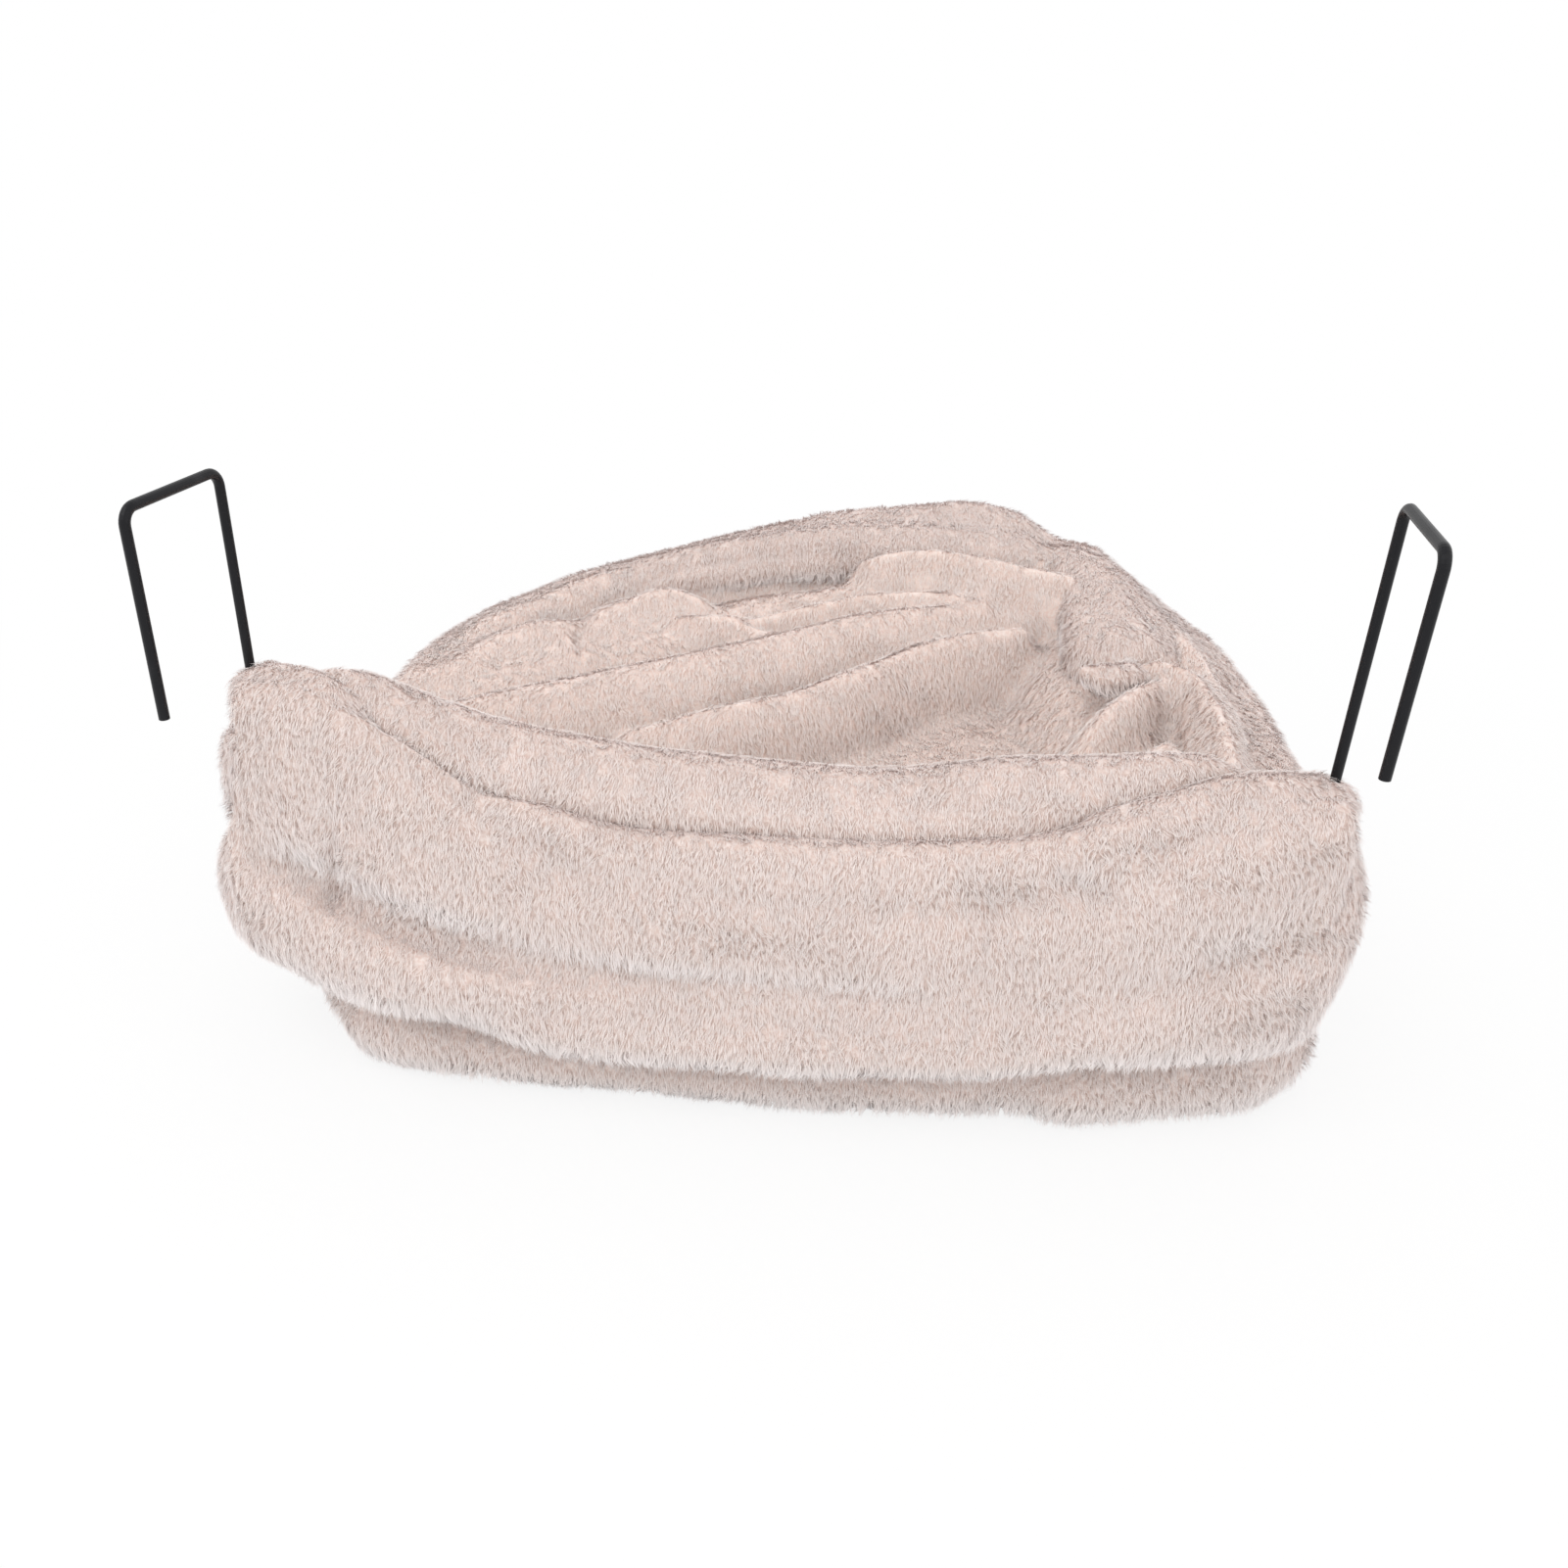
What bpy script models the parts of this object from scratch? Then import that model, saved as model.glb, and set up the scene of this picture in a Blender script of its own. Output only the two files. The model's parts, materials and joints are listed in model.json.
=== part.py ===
"""Radiator cat bed: a plush sack hung in a wire frame with two plug-in hooks.

The bed stands on its own collapsed sack, as it does when it is put down on a table. X runs along the
radiator side from the left hook to the right one, Y runs away from the radiator, Z is up. Metres.
"""
import math

import bmesh
import bpy
from mathutils import Vector

# Driving dimensions of the wire parts.
LEG_SPACING = 0.424
HOOK_WIRE_DIAMETER = 0.004
HOOK_REACH = 0.0555
FREE_LEG_LENGTH = 0.0775
HOOK_TOP_HEIGHT = 0.258
HOOK_BEND_RADIUS = 0.006
HOOK_TURN = math.radians(8.7)
FRAME_WIRE_DIAMETER = 0.0045
FRAME_HEIGHT = 0.102
FRAME_RISE = 0.012
HOOP_DEPTH = 0.262
HOOP_SKEW = math.radians(3.5)
HOOP_CORNER_RADIUS = 0.150
SOCKET_WALL = 0.0012
SOCKET_CLEARANCE = 0.0003
SOCKET_FLOOR = 0.002
SOCKET_ABOVE_FRAME = 0.008
SOCKET_BELOW_FRAME = 0.036

# Driving dimensions of the plush parts.
SEAT_GAP = 0.0003
CLOTH_GAP = 0.0006
RIM_RADIUS = 0.016
RIM_BORE_CLEARANCE = 0.001
RIM_LONGEST_RUN = 0.031
SLEEVE_RADIUS = 0.009
SLEEVE_BORE_CLEARANCE = 0.0009
SLEEVE_BULGE = 0.002
PANEL_HEIGHT = 0.175
RIGHT_CORNER_HEIGHT = 0.148
PANEL_CREASE_DEPTH = 0.0055
PANEL_UPPER_BULGE = 0.022
PANEL_LOWER_BULGE = 0.030
FOLD_DEPTH = 0.010
WALL_INSET = 0.004
WALL_OFFSET = 0.012
WALL_BULGE = 0.007
BASE_HEIGHT = 0.040
SOCKET_BASE_CLEARANCE = 0.003
BASE_FRONT_REACH = 0.040
BASE_SIDE_REACH = 0.012
BASE_EDGE_ROLL = 0.020
BASE_SEAT_GAP = 0.0012
WADDING_THICKNESS = 0.012
WADDING_MARGIN = 0.030
WADDING_NEAR_MARGIN = 0.078
LINING_THICKNESS = 0.012
LINING_FLOOR = 0.108
LINING_EDGE_RISE = 0.016

# Shares and powers that shape the plush parts.
ROLL_SECTION_POWER = 0.7
WALL_END_SHARE = 0.06
WALL_RIPPLE_SHARE = 0.25
WALL_RIPPLE_WAVES = 2.5

# Mesh counts.
HOOK_SIDES_RESOLUTION = 6
FRAME_SIDES_RESOLUTION = 3
BEND_STEPS = 8
RIM_SECTION_SIDES = 10
BACK_RIM_STEPS = 18
PANEL_COLUMNS = 33
PANEL_LOWER_ROWS = 6
PANEL_UPPER_ROWS = 7
WALL_COLUMNS = 40
WALL_ROWS = 8
LINING_COLUMNS = 27
LINING_ROWS = 20
SOCKET_SIDES = 24
SLEEVE_SIDES = 16
SLEEVE_ROWS = 6
WIRE_WAY_SIDES = 10
BASE_SIDE_STEPS = 16

# Materials: colour, roughness and metallic value.
PLUSH = ("plush", (0.80, 0.68, 0.61), 0.95, 0.0)
LINING_PLUSH = ("lining_plush", (0.82, 0.70, 0.63), 0.95, 0.0)
WADDING = ("white_wadding", (0.90, 0.90, 0.88), 0.95, 0.0)
BLACK_COAT = ("black_powder_coat", (0.012, 0.012, 0.014), 0.35, 0.0)

HALF_SPAN = LEG_SPACING / 2
HOOK_WIRE_RADIUS = HOOK_WIRE_DIAMETER / 2
FRAME_WIRE_RADIUS = FRAME_WIRE_DIAMETER / 2
SOCKET_BORE = HOOK_WIRE_RADIUS + SOCKET_CLEARANCE
SOCKET_RADIUS = SOCKET_BORE + SOCKET_WALL
SOCKET_BOTTOM = FRAME_HEIGHT - SOCKET_BELOW_FRAME
SOCKET_TOP = FRAME_HEIGHT + SOCKET_ABOVE_FRAME
LEG_FOOT = SOCKET_BOTTOM + SOCKET_FLOOR + SEAT_GAP
BASE_MAX_HEIGHT = SOCKET_BOTTOM - SOCKET_BASE_CLEARANCE
RIM_BORE = FRAME_WIRE_RADIUS + RIM_BORE_CLEARANCE
SLEEVE_BORE = SOCKET_RADIUS + SLEEVE_BORE_CLEARANCE
SLEEVE_FRONT = SLEEVE_RADIUS + SLEEVE_BULGE + CLOTH_GAP
RIM_START = SLEEVE_FRONT

# Heights along the radiator side, as (place across the half span, share of the panel height).
PANEL_TOP_SHARES = ((-1.08, 1.03), (-0.94, 1.045), (-0.80, 1.01), (-0.63, 0.89), (-0.46, 0.75),
                    (-0.32, 0.66), (0.0, 0.645), (0.21, 0.65), (0.50, 0.70), (0.66, 0.79),
                    (0.81, 0.85), (1.0, 0.895), (1.06, 0.87))
FOLD_SHARES = ((-1.08, 0.68), (-0.97, 0.62), (-0.84, 0.51), (-0.63, 0.41), (-0.34, 0.355),
               (0.04, 0.34), (0.42, 0.36), (0.71, 0.45), (0.90, 0.56), (1.06, 0.68))
PANEL_FOOT_SHARES = ((-1.08, 0.32), (-0.95, 0.255), (-0.81, 0.24), (-0.65, 0.21), (-0.42, 0.165),
                     (-0.20, 0.155), (0.08, 0.16), (0.42, 0.185), (0.61, 0.245), (0.81, 0.35),
                     (0.94, 0.44), (1.06, 0.56))
# Half width of the radiator side on the left and on the right, as (share of its height, share of the span).
LEFT_EDGE_SHARES = ((0.0, 1.04), (0.40, 1.07), (0.60, 1.04), (0.80, 1.02), (1.0, 1.015))
RIGHT_EDGE_SHARES = ((0.0, 1.0), (0.35, 1.03), (0.70, 1.035), (1.0, 1.02))
# How far the two rolls of the radiator side stand out and how deep the fold between them is.
UPPER_BULGE_SHARES = ((-1.06, 0.30), (-0.80, 0.62), (-0.30, 1.0), (0.40, 1.0), (0.85, 0.85), (1.06, 0.40))
LOWER_BULGE_SHARES = ((-1.06, 0.45), (-0.80, 0.65), (-0.30, 1.0), (0.40, 0.95), (0.85, 0.60), (1.06, 0.30))
FOLD_DEPTH_SHARES = ((-1.06, 0.6), (-0.80, 0.9), (-0.45, 1.5), (0.0, 2.2), (0.45, 2.2), (0.80, 1.5),
                     (1.06, 0.8))
# Crest of the near rim roll, at places across the half span, and how its ends draw in.
BACK_CREST_SHARES = ((-1.0, 0.985), (-0.83, 0.965), (-0.73, 0.93), (-0.63, 0.89), (-0.44, 0.87),
                     (-0.18, 0.835), (0.05, 0.818), (0.22, 0.82), (0.56, 0.865), (0.82, 0.862),
                     (1.0, 0.845))
BACK_RIM_END_SHARE = 0.56
BACK_RIM_TAPER_SHARE = 0.30
# Rise of the hoop's rim roll above the wire and its half thickness, from the left end round to the right.
RIM_RISE_SHARES = ((0.0, 1.5), (0.10, 0.7), (0.24, 0.4), (0.36, 1.4), (0.45, 3.2), (0.52, 4.3),
                   (0.60, 4.5), (0.66, 4.2), (0.74, 3.0), (0.82, 2.0), (0.90, 1.7), (1.0, 2.2))
RIM_THICKNESS_SHARES = ((0.0, 0.85), (0.25, 0.85), (0.42, 0.95), (0.56, 1.0), (0.68, 1.0), (0.80, 0.9),
                        (1.0, 0.85))
RIM_DROP_SHARE = 0.88
# Section of the base's edge, as (share of the edge roll inward, share of the edge's height).
BASE_EDGE_SHARES = ((1.0, 0.0), (0.3, 0.17), (0.0, 0.45), (0.15, 0.78), (0.55, 1.0), (1.3, 1.0))
BASE_CROWN_SHARE = 0.35
BASE_CORNER_POWER = 5
# Edge of the base along the radiator side, as (place across the half span, share of the front reach).
BASE_FRONT_SHARES = ((-0.94, 0.45), (-0.82, 0.80), (-0.50, 0.98), (0.10, 1.0), (0.45, 0.88), (0.75, 0.55),
                     (0.93, 0.25), (1.02, 0.0))
# Folds of the lining: half width as a share of the hoop depth, then crest points as (share of the half
# span, share of the hoop depth, share of the panel height).
LINING_FOLD_SHARES = (
    (0.098, ((-0.78, 0.24, 0.72), (-0.56, 0.31, 0.76), (-0.28, 0.46, 0.79), (-0.01, 0.59, 0.805),
             (0.18, 0.74, 0.825), (0.38, 0.81, 0.83), (0.58, 0.78, 0.83))),
    (0.066, ((-0.28, 0.225, 0.705), (-0.16, 0.26, 0.735), (0.06, 0.38, 0.76), (0.18, 0.49, 0.77),
             (0.29, 0.61, 0.78), (0.45, 0.72, 0.80), (0.60, 0.75, 0.82))),
    (0.062, ((0.17, 0.90, 0.92), (0.30, 0.92, 0.95), (0.48, 0.89, 0.95), (0.67, 0.82, 0.93))),
    (0.100, ((-0.80, 0.50, 0.76), (-0.71, 0.66, 0.79), (-0.52, 0.83, 0.84), (-0.24, 0.88, 0.925),
             (0.08, 0.91, 0.97), (0.40, 0.92, 0.99), (0.62, 0.90, 0.98))),
    (0.105, ((0.73, 0.86, 0.955), (0.76, 0.72, 0.94), (0.765, 0.52, 0.88))),
    (0.070, ((0.63, 0.28, 0.785), (0.71, 0.35, 0.84), (0.80, 0.44, 0.865))),
)
FOLD_SECTION_POWER = 0.75


def remove_everything():
    """Empty the scene."""
    for thing in list(bpy.data.objects):
        bpy.data.objects.remove(thing, do_unlink=True)


def make_material(finish):
    """Return the Principled material for a finish, making it once."""
    name, colour, roughness, metallic = finish
    material = bpy.data.materials.get(name)
    if material is None:
        material = bpy.data.materials.new(name)
        material.use_nodes = True
        shader = material.node_tree.nodes["Principled BSDF"]
        shader.inputs["Base Color"].default_value = (*colour, 1.0)
        shader.inputs["Roughness"].default_value = roughness
        shader.inputs["Metallic"].default_value = metallic
    return material


def add_piece(name, data, finish, parent, location=(0.0, 0.0, 0.0)):
    """Put mesh or curve data in the scene as a named piece under the bed's root."""
    piece = bpy.data.objects.new(name, data)
    bpy.context.collection.objects.link(piece)
    piece.location = location
    piece.parent = parent
    data.materials.clear()
    data.materials.append(make_material(finish))
    return piece


def mesh_from_bmesh(name, shape):
    """Turn a bmesh into smooth mesh data with its faces pointing out."""
    bmesh.ops.recalc_face_normals(shape, faces=shape.faces)
    data = bpy.data.meshes.new(name)
    shape.to_mesh(data)
    shape.free()
    data.shade_smooth()
    data.set_sharp_from_angle(angle=math.radians(50.0))
    return data


def through(points, place):
    """Read a smooth curve through (place, value) pairs, level at both ends."""
    if place <= points[0][0]:
        return points[0][1]
    if place >= points[-1][0]:
        return points[-1][1]
    last = len(points) - 1
    index = next(i for i in range(last) if place <= points[i + 1][0])

    def slope(i):
        if i == 0 or i == last:
            return 0.0
        return (points[i + 1][1] - points[i - 1][1]) / (points[i + 1][0] - points[i - 1][0])

    start, low = points[index]
    end, high = points[index + 1]
    run = end - start
    t = (place - start) / run
    keep_low = (1 + 2 * t) * (1 - t) ** 2
    keep_high = t * t * (3 - 2 * t)
    bend_low = t * (1 - t) ** 2 * run * slope(index)
    bend_high = t * t * (t - 1) * run * slope(index + 1)
    return keep_low * low + keep_high * high + bend_low + bend_high


def rounded_path(corners, radius, steps):
    """Round the inner corners of a chain of points with arcs."""
    path = [Vector(corners[0])]
    for before, corner, after in zip(corners, corners[1:], corners[2:]):
        corner = Vector(corner)
        back = (Vector(before) - corner).normalized()
        ahead = (Vector(after) - corner).normalized()
        half_angle = back.angle(ahead) / 2
        reach = radius / math.tan(half_angle)
        centre = corner + (back + ahead).normalized() * radius / math.sin(half_angle)
        first = corner + back * reach - centre
        final = corner + ahead * reach - centre
        sweep = first.angle(final)
        for step in range(steps + 1):
            share = step / steps
            spoke = first * math.sin((1 - share) * sweep) + final * math.sin(share * sweep)
            path.append(centre + spoke / math.sin(sweep))
    path.append(Vector(corners[-1]))
    return path


def lengths_along(path):
    """Distance from the start of a path to each of its points."""
    lengths = [0.0]
    for start, end in zip(path, path[1:]):
        lengths.append(lengths[-1] + (end - start).length)
    return lengths


def resample(path, count):
    """Return count + 1 points spaced evenly along a path."""
    lengths = lengths_along(path)
    spaced = []
    index = 0
    for step in range(count + 1):
        wanted = lengths[-1] * step / count
        while index < len(path) - 2 and lengths[index + 1] < wanted:
            index += 1
        share = (wanted - lengths[index]) / (lengths[index + 1] - lengths[index])
        spaced.append(path[index].lerp(path[index + 1], min(1.0, share)))
    return spaced


def split_runs(path, longest):
    """Add points to the straight runs of a path, so that none is longer than asked."""
    split = [path[0]]
    for start, end in zip(path, path[1:]):
        steps = max(1, math.ceil((end - start).length / longest))
        split += [start.lerp(end, step / steps) for step in range(1, steps + 1)]
    return split


def wire_curve(name, path, radius, resolution):
    """Make a solid round wire along a path, with flat cut ends."""
    curve = bpy.data.curves.new(name, "CURVE")
    curve.dimensions = "3D"
    curve.bevel_depth = radius
    curve.bevel_resolution = resolution
    curve.use_fill_caps = True
    spline = curve.splines.new("POLY")
    spline.points.add(len(path) - 1)
    for point, place in zip(spline.points, path):
        point.co = (*place, 1.0)
    return curve


def ring_solid(name, rings, closed_ends):
    """Skin a list of point rings, ending in flat caps or, for a bore, joined first to last."""
    shape = bmesh.new()
    loops = [[shape.verts.new(point) for point in ring] for ring in rings]
    pairs = list(zip(loops, loops[1:]))
    if not closed_ends:
        pairs.append((loops[-1], loops[0]))
    for near, far in pairs:
        for side in range(len(near)):
            following = (side + 1) % len(near)
            shape.faces.new((near[side], near[following], far[following], far[side]))
    if closed_ends:
        shape.faces.new(loops[0])
        shape.faces.new(loops[-1])
    return mesh_from_bmesh(name, shape)


def sheet_solid(name, outside, inside):
    """Close two grids of points that face each other into one solid."""
    shape = bmesh.new()
    outer = [[shape.verts.new(point) for point in row] for row in outside]
    inner = [[shape.verts.new(point) for point in row] for row in inside]
    rows = len(outer)
    columns = len(outer[0])
    for grid in (outer, inner):
        for row in range(rows - 1):
            for column in range(columns - 1):
                shape.faces.new((grid[row][column], grid[row][column + 1],
                                 grid[row + 1][column + 1], grid[row + 1][column]))
    border = [(0, column) for column in range(columns)]
    border += [(row, columns - 1) for row in range(1, rows)]
    border += [(rows - 1, column) for column in range(columns - 2, -1, -1)]
    border += [(row, 0) for row in range(rows - 2, 0, -1)]
    for index, (row, column) in enumerate(border):
        next_row, next_column = border[(index + 1) % len(border)]
        shape.faces.new((outer[row][column], outer[next_row][next_column],
                         inner[next_row][next_column], inner[row][column]))
    return mesh_from_bmesh(name, shape)


def frame_height_at(depth):
    """Height of the frame wire at a distance from the radiator side."""
    return FRAME_HEIGHT + FRAME_RISE * depth / HOOP_DEPTH


def hoop_path(start):
    """Points of the hoop wire from the left end round the front to the right end."""
    corners = [(-HALF_SPAN, start), (-HALF_SPAN, HOOP_DEPTH), (HALF_SPAN, HOOP_DEPTH), (HALF_SPAN, start)]
    skewed = [(across + depth * math.tan(HOOP_SKEW), depth, 0.0) for across, depth in corners]
    flat = rounded_path(skewed, HOOP_CORNER_RADIUS, BEND_STEPS)
    return [Vector((point.x, point.y, frame_height_at(point.y))) for point in flat]


def outward(path, index):
    """Level direction that points out of the hoop at a point of its path."""
    along = path[min(index + 1, len(path) - 1)] - path[max(index - 1, 0)]
    return Vector((-along.y, along.x, 0.0)).normalized()


def build_hook(name, side, root):
    """One plug-in hook: its origin is on the leg's axis, at the leg's foot."""
    top = HOOK_TOP_HEIGHT - LEG_FOOT
    corners = [(0, 0, 0), (0, 0, top), (0, -HOOK_REACH, top), (0, -HOOK_REACH, top - FREE_LEG_LENGTH)]
    path = rounded_path(corners, HOOK_BEND_RADIUS, BEND_STEPS)
    curve = wire_curve(name, path, HOOK_WIRE_RADIUS, HOOK_SIDES_RESOLUTION)
    hook = add_piece(name, curve, BLACK_COAT, root, (side * HALF_SPAN, 0, LEG_FOOT))
    hook.rotation_euler.z = -HOOK_TURN
    return hook


def build_socket(name, side, root):
    """Closed-foot steel tube that a hook's leg plugs into."""
    floor = SOCKET_BOTTOM + SOCKET_FLOOR
    profile = [(SOCKET_RADIUS, SOCKET_BOTTOM), (SOCKET_RADIUS, SOCKET_TOP),
               (SOCKET_BORE, SOCKET_TOP), (SOCKET_BORE, floor)]
    rings = []
    for radius, height in profile:
        ring = []
        for step in range(SOCKET_SIDES):
            angle = 2 * math.pi * step / SOCKET_SIDES
            ring.append((radius * math.cos(angle), radius * math.sin(angle), height))
        rings.append(ring)
    return add_piece(name, ring_solid(name, rings, True), BLACK_COAT, root, (side * HALF_SPAN, 0, 0))


def build_hoop_wire(root):
    """Bent wire that carries the rim round the front of the sack."""
    path = hoop_path(SOCKET_RADIUS + SEAT_GAP)
    curve = wire_curve("hoop_wire", path, FRAME_WIRE_RADIUS, FRAME_SIDES_RESOLUTION)
    return add_piece("hoop_wire", curve, BLACK_COAT, root)


def build_back_bar(root):
    """Straight wire between the two sockets on the radiator side."""
    end = HALF_SPAN - SOCKET_RADIUS - SEAT_GAP
    path = [Vector((-end, 0, FRAME_HEIGHT)), Vector((end, 0, FRAME_HEIGHT))]
    curve = wire_curve("back_bar", path, FRAME_WIRE_RADIUS, FRAME_SIDES_RESOLUTION)
    return add_piece("back_bar", curve, BLACK_COAT, root)


def roll_rings(path, outs, rises, drops, thicknesses):
    """Rings of a padded roll round a wire: the outside skin, then the bore back to the start."""
    outside = []
    bore = []
    for place, out, rise, drop, thickness in zip(path, outs, rises, drops, thicknesses):
        middle = place + Vector((0, 0, (rise - drop) / 2))
        half_height = (rise + drop) / 2
        skin = []
        hole = []
        for step in range(RIM_SECTION_SIDES):
            angle = 2 * math.pi * step / RIM_SECTION_SIDES
            across = math.cos(angle)
            upward = math.sin(angle)
            skin.append(middle + out * across * thickness + Vector((0, 0, upward * half_height)))
            hole.append(place + out * across * RIM_BORE + Vector((0, 0, upward * RIM_BORE)))
        outside.append(skin)
        bore.append(hole)
    return outside + bore[::-1]


def build_front_rim(root):
    """Plush tunnel round the hoop wire, open at both ends."""
    path = split_runs(hoop_path(RIM_START), RIM_LONGEST_RUN)
    outs = [outward(path, index) for index in range(len(path))]
    lengths = lengths_along(path)
    shares = [length / lengths[-1] for length in lengths]
    rises = [RIM_RADIUS * through(RIM_RISE_SHARES, share) for share in shares]
    thicknesses = [RIM_RADIUS * through(RIM_THICKNESS_SHARES, share) for share in shares]
    drops = [RIM_RADIUS * RIM_DROP_SHARE] * len(path)
    rings = roll_rings(path, outs, rises, drops, thicknesses)
    return add_piece("front_rim_tunnel", ring_solid("front_rim_tunnel", rings, False), PLUSH, root)


def back_rim_thickness(across):
    """Half thickness of the near rim roll, which draws in toward the corner sleeves."""
    share = min(1.0, (1 - abs(across) / HALF_SPAN) / BACK_RIM_TAPER_SHARE)
    return RIM_RADIUS * (BACK_RIM_END_SHARE + (1 - BACK_RIM_END_SHARE) * share * (2 - share))


def build_back_rim(root):
    """Plush tunnel round the back bar, which lies over the top of the back panel."""
    end = HALF_SPAN - RIM_START
    path = []
    rises = []
    thicknesses = []
    for step in range(BACK_RIM_STEPS + 1):
        across = end * (2 * step / BACK_RIM_STEPS - 1)
        path.append(Vector((across, 0, FRAME_HEIGHT)))
        rises.append(PANEL_HEIGHT * through(BACK_CREST_SHARES, across / HALF_SPAN) - FRAME_HEIGHT)
        thicknesses.append(back_rim_thickness(across))
    outs = [Vector((0, -1, 0))] * len(path)
    drops = [RIM_RADIUS * RIM_DROP_SHARE] * len(path)
    rings = roll_rings(path, outs, rises, drops, thicknesses)
    return add_piece("back_rim_tunnel", ring_solid("back_rim_tunnel", rings, False), PLUSH, root)


def panel_height(shares, across):
    """Height of one of the radiator side's lines at a place across it."""
    return PANEL_HEIGHT * through(shares, across / HALF_SPAN)


def panel_back(across):
    """How far behind the line of the hook legs the back panel's inner face lies."""
    return max(back_rim_thickness(across) + CLOTH_GAP, SLEEVE_FRONT)


def panel_point(column, row):
    """A point on the outside of the back panel: lower roll first, then the upper one."""
    side_share = 2 * column / PANEL_COLUMNS - 1
    edge_shares = LEFT_EDGE_SHARES if side_share < 0 else RIGHT_EDGE_SHARES
    up_share = row / (PANEL_LOWER_ROWS + PANEL_UPPER_ROWS)
    place = side_share * through(edge_shares, up_share)
    across = place * HALF_SPAN
    foot = panel_height(PANEL_FOOT_SHARES, across)
    fold = panel_height(FOLD_SHARES, across)
    top = panel_height(PANEL_TOP_SHARES, across)
    crease = panel_back(across) + PANEL_CREASE_DEPTH
    valley = crease + FOLD_DEPTH * through(FOLD_DEPTH_SHARES, place)
    if row <= PANEL_LOWER_ROWS:
        share = row / PANEL_LOWER_ROWS
        crest = crease + PANEL_LOWER_BULGE * through(LOWER_BULGE_SHARES, place)
        base_line = valley - (valley - crease) * (1 - share) ** 2
        height = foot + (fold - foot) * share
    else:
        share = (row - PANEL_LOWER_ROWS) / PANEL_UPPER_ROWS
        crest = crease + PANEL_UPPER_BULGE * through(UPPER_BULGE_SHARES, place)
        base_line = valley + (crease - valley) * share ** 2
        height = fold + (top - fold) * share
    swell = max(0.0, crest - base_line) * math.sin(math.pi * share) ** ROLL_SECTION_POWER
    return Vector((across, -(base_line + swell), height))


def build_back_panel(root):
    """Outer plush panel of the radiator side, with its two stacked rolls."""
    outside = []
    inside = []
    for row in range(PANEL_LOWER_ROWS + PANEL_UPPER_ROWS + 1):
        points = [panel_point(column, row) for column in range(PANEL_COLUMNS + 1)]
        outside.append(points)
        inside.append([Vector((point.x, -panel_back(point.x), point.z)) for point in points])
    return add_piece("back_panel", sheet_solid("back_panel", outside, inside), PLUSH, root)


def wall_foot(share):
    """Height of the front wall's foot, raised at both ends over the corners of the base."""
    lift = max(0.0, 1 - min(share, 1 - share) / WALL_END_SHARE)
    return BASE_HEIGHT + CLOTH_GAP + (BASE_MAX_HEIGHT - BASE_HEIGHT) * lift


def build_front_wall(root):
    """Plush wall under the hoop's rim, crumpled into two rolls."""
    path = resample(hoop_path(RIM_START), WALL_COLUMNS)
    outside = []
    inside = []
    for row in range(WALL_ROWS + 1):
        share = row / WALL_ROWS
        outer_row = []
        inner_row = []
        for index, place in enumerate(path):
            round_share = index / WALL_COLUMNS
            out = outward(path, index)
            top = place.z - RIM_RADIUS * RIM_DROP_SHARE - CLOTH_GAP
            foot = wall_foot(round_share)
            ripple = 1 + WALL_RIPPLE_SHARE * math.sin(2 * math.pi * WALL_RIPPLE_WAVES * round_share)
            swell = WALL_BULGE * ripple * abs(math.sin(2 * math.pi * share)) ** ROLL_SECTION_POWER
            level = place + Vector((0, 0, foot + (top - foot) * share - place.z))
            outer_row.append(level + out * (WALL_OFFSET + swell))
            inner_row.append(level - out * WALL_INSET)
        outside.append(outer_row)
        inside.append(inner_row)
    return add_piece("front_wall", sheet_solid("front_wall", outside, inside), PLUSH, root)


def distance_to_chain(place, chain):
    """Distance from a place to a chain of crest points in plan, and the crest height beside it."""
    best = (math.inf, 0.0)
    for start, end in zip(chain, chain[1:]):
        run = Vector((end.x - start.x, end.y - start.y))
        offset = Vector((place.x - start.x, place.y - start.y))
        share = min(1.0, max(0.0, offset.dot(run) / run.length_squared))
        gap = (offset - run * share).length
        if gap < best[0]:
            best = (gap, start.z + (end.z - start.z) * share)
    return best


def lining_edges(depth):
    """Left and right edge of the lining, just inside the rim, at a distance from the radiator side."""
    path = hoop_path(RIM_START)
    inner = [place - outward(path, index) * (RIM_RADIUS + CLOTH_GAP) for index, place in enumerate(path)]
    crossings = []
    for start, end in zip(inner, inner[1:]):
        if min(start.y, end.y) <= depth <= max(start.y, end.y) and start.y != end.y:
            crossings.append(start.x + (end.x - start.x) * (depth - start.y) / (end.y - start.y))
    return min(crossings), max(crossings)


def lining_height(place, edge_share):
    """Height of the lining at a place in plan: a shallow bowl with the folds laid in it."""
    rim_line = frame_height_at(place.y) + LINING_EDGE_RISE
    height = LINING_FLOOR + (rim_line - LINING_FLOOR) * edge_share ** 3
    for width_share, crest_shares in LINING_FOLD_SHARES:
        width = HOOP_DEPTH * width_share
        chain = [Vector((HALF_SPAN * across, HOOP_DEPTH * depth, PANEL_HEIGHT * crest))
                 for across, depth, crest in crest_shares]
        gap, crest = distance_to_chain(place, chain)
        if gap < width:
            section = (1 - (gap / width) ** 2) ** FOLD_SECTION_POWER
            height += max(0.0, crest - height) * section
    return height


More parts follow.
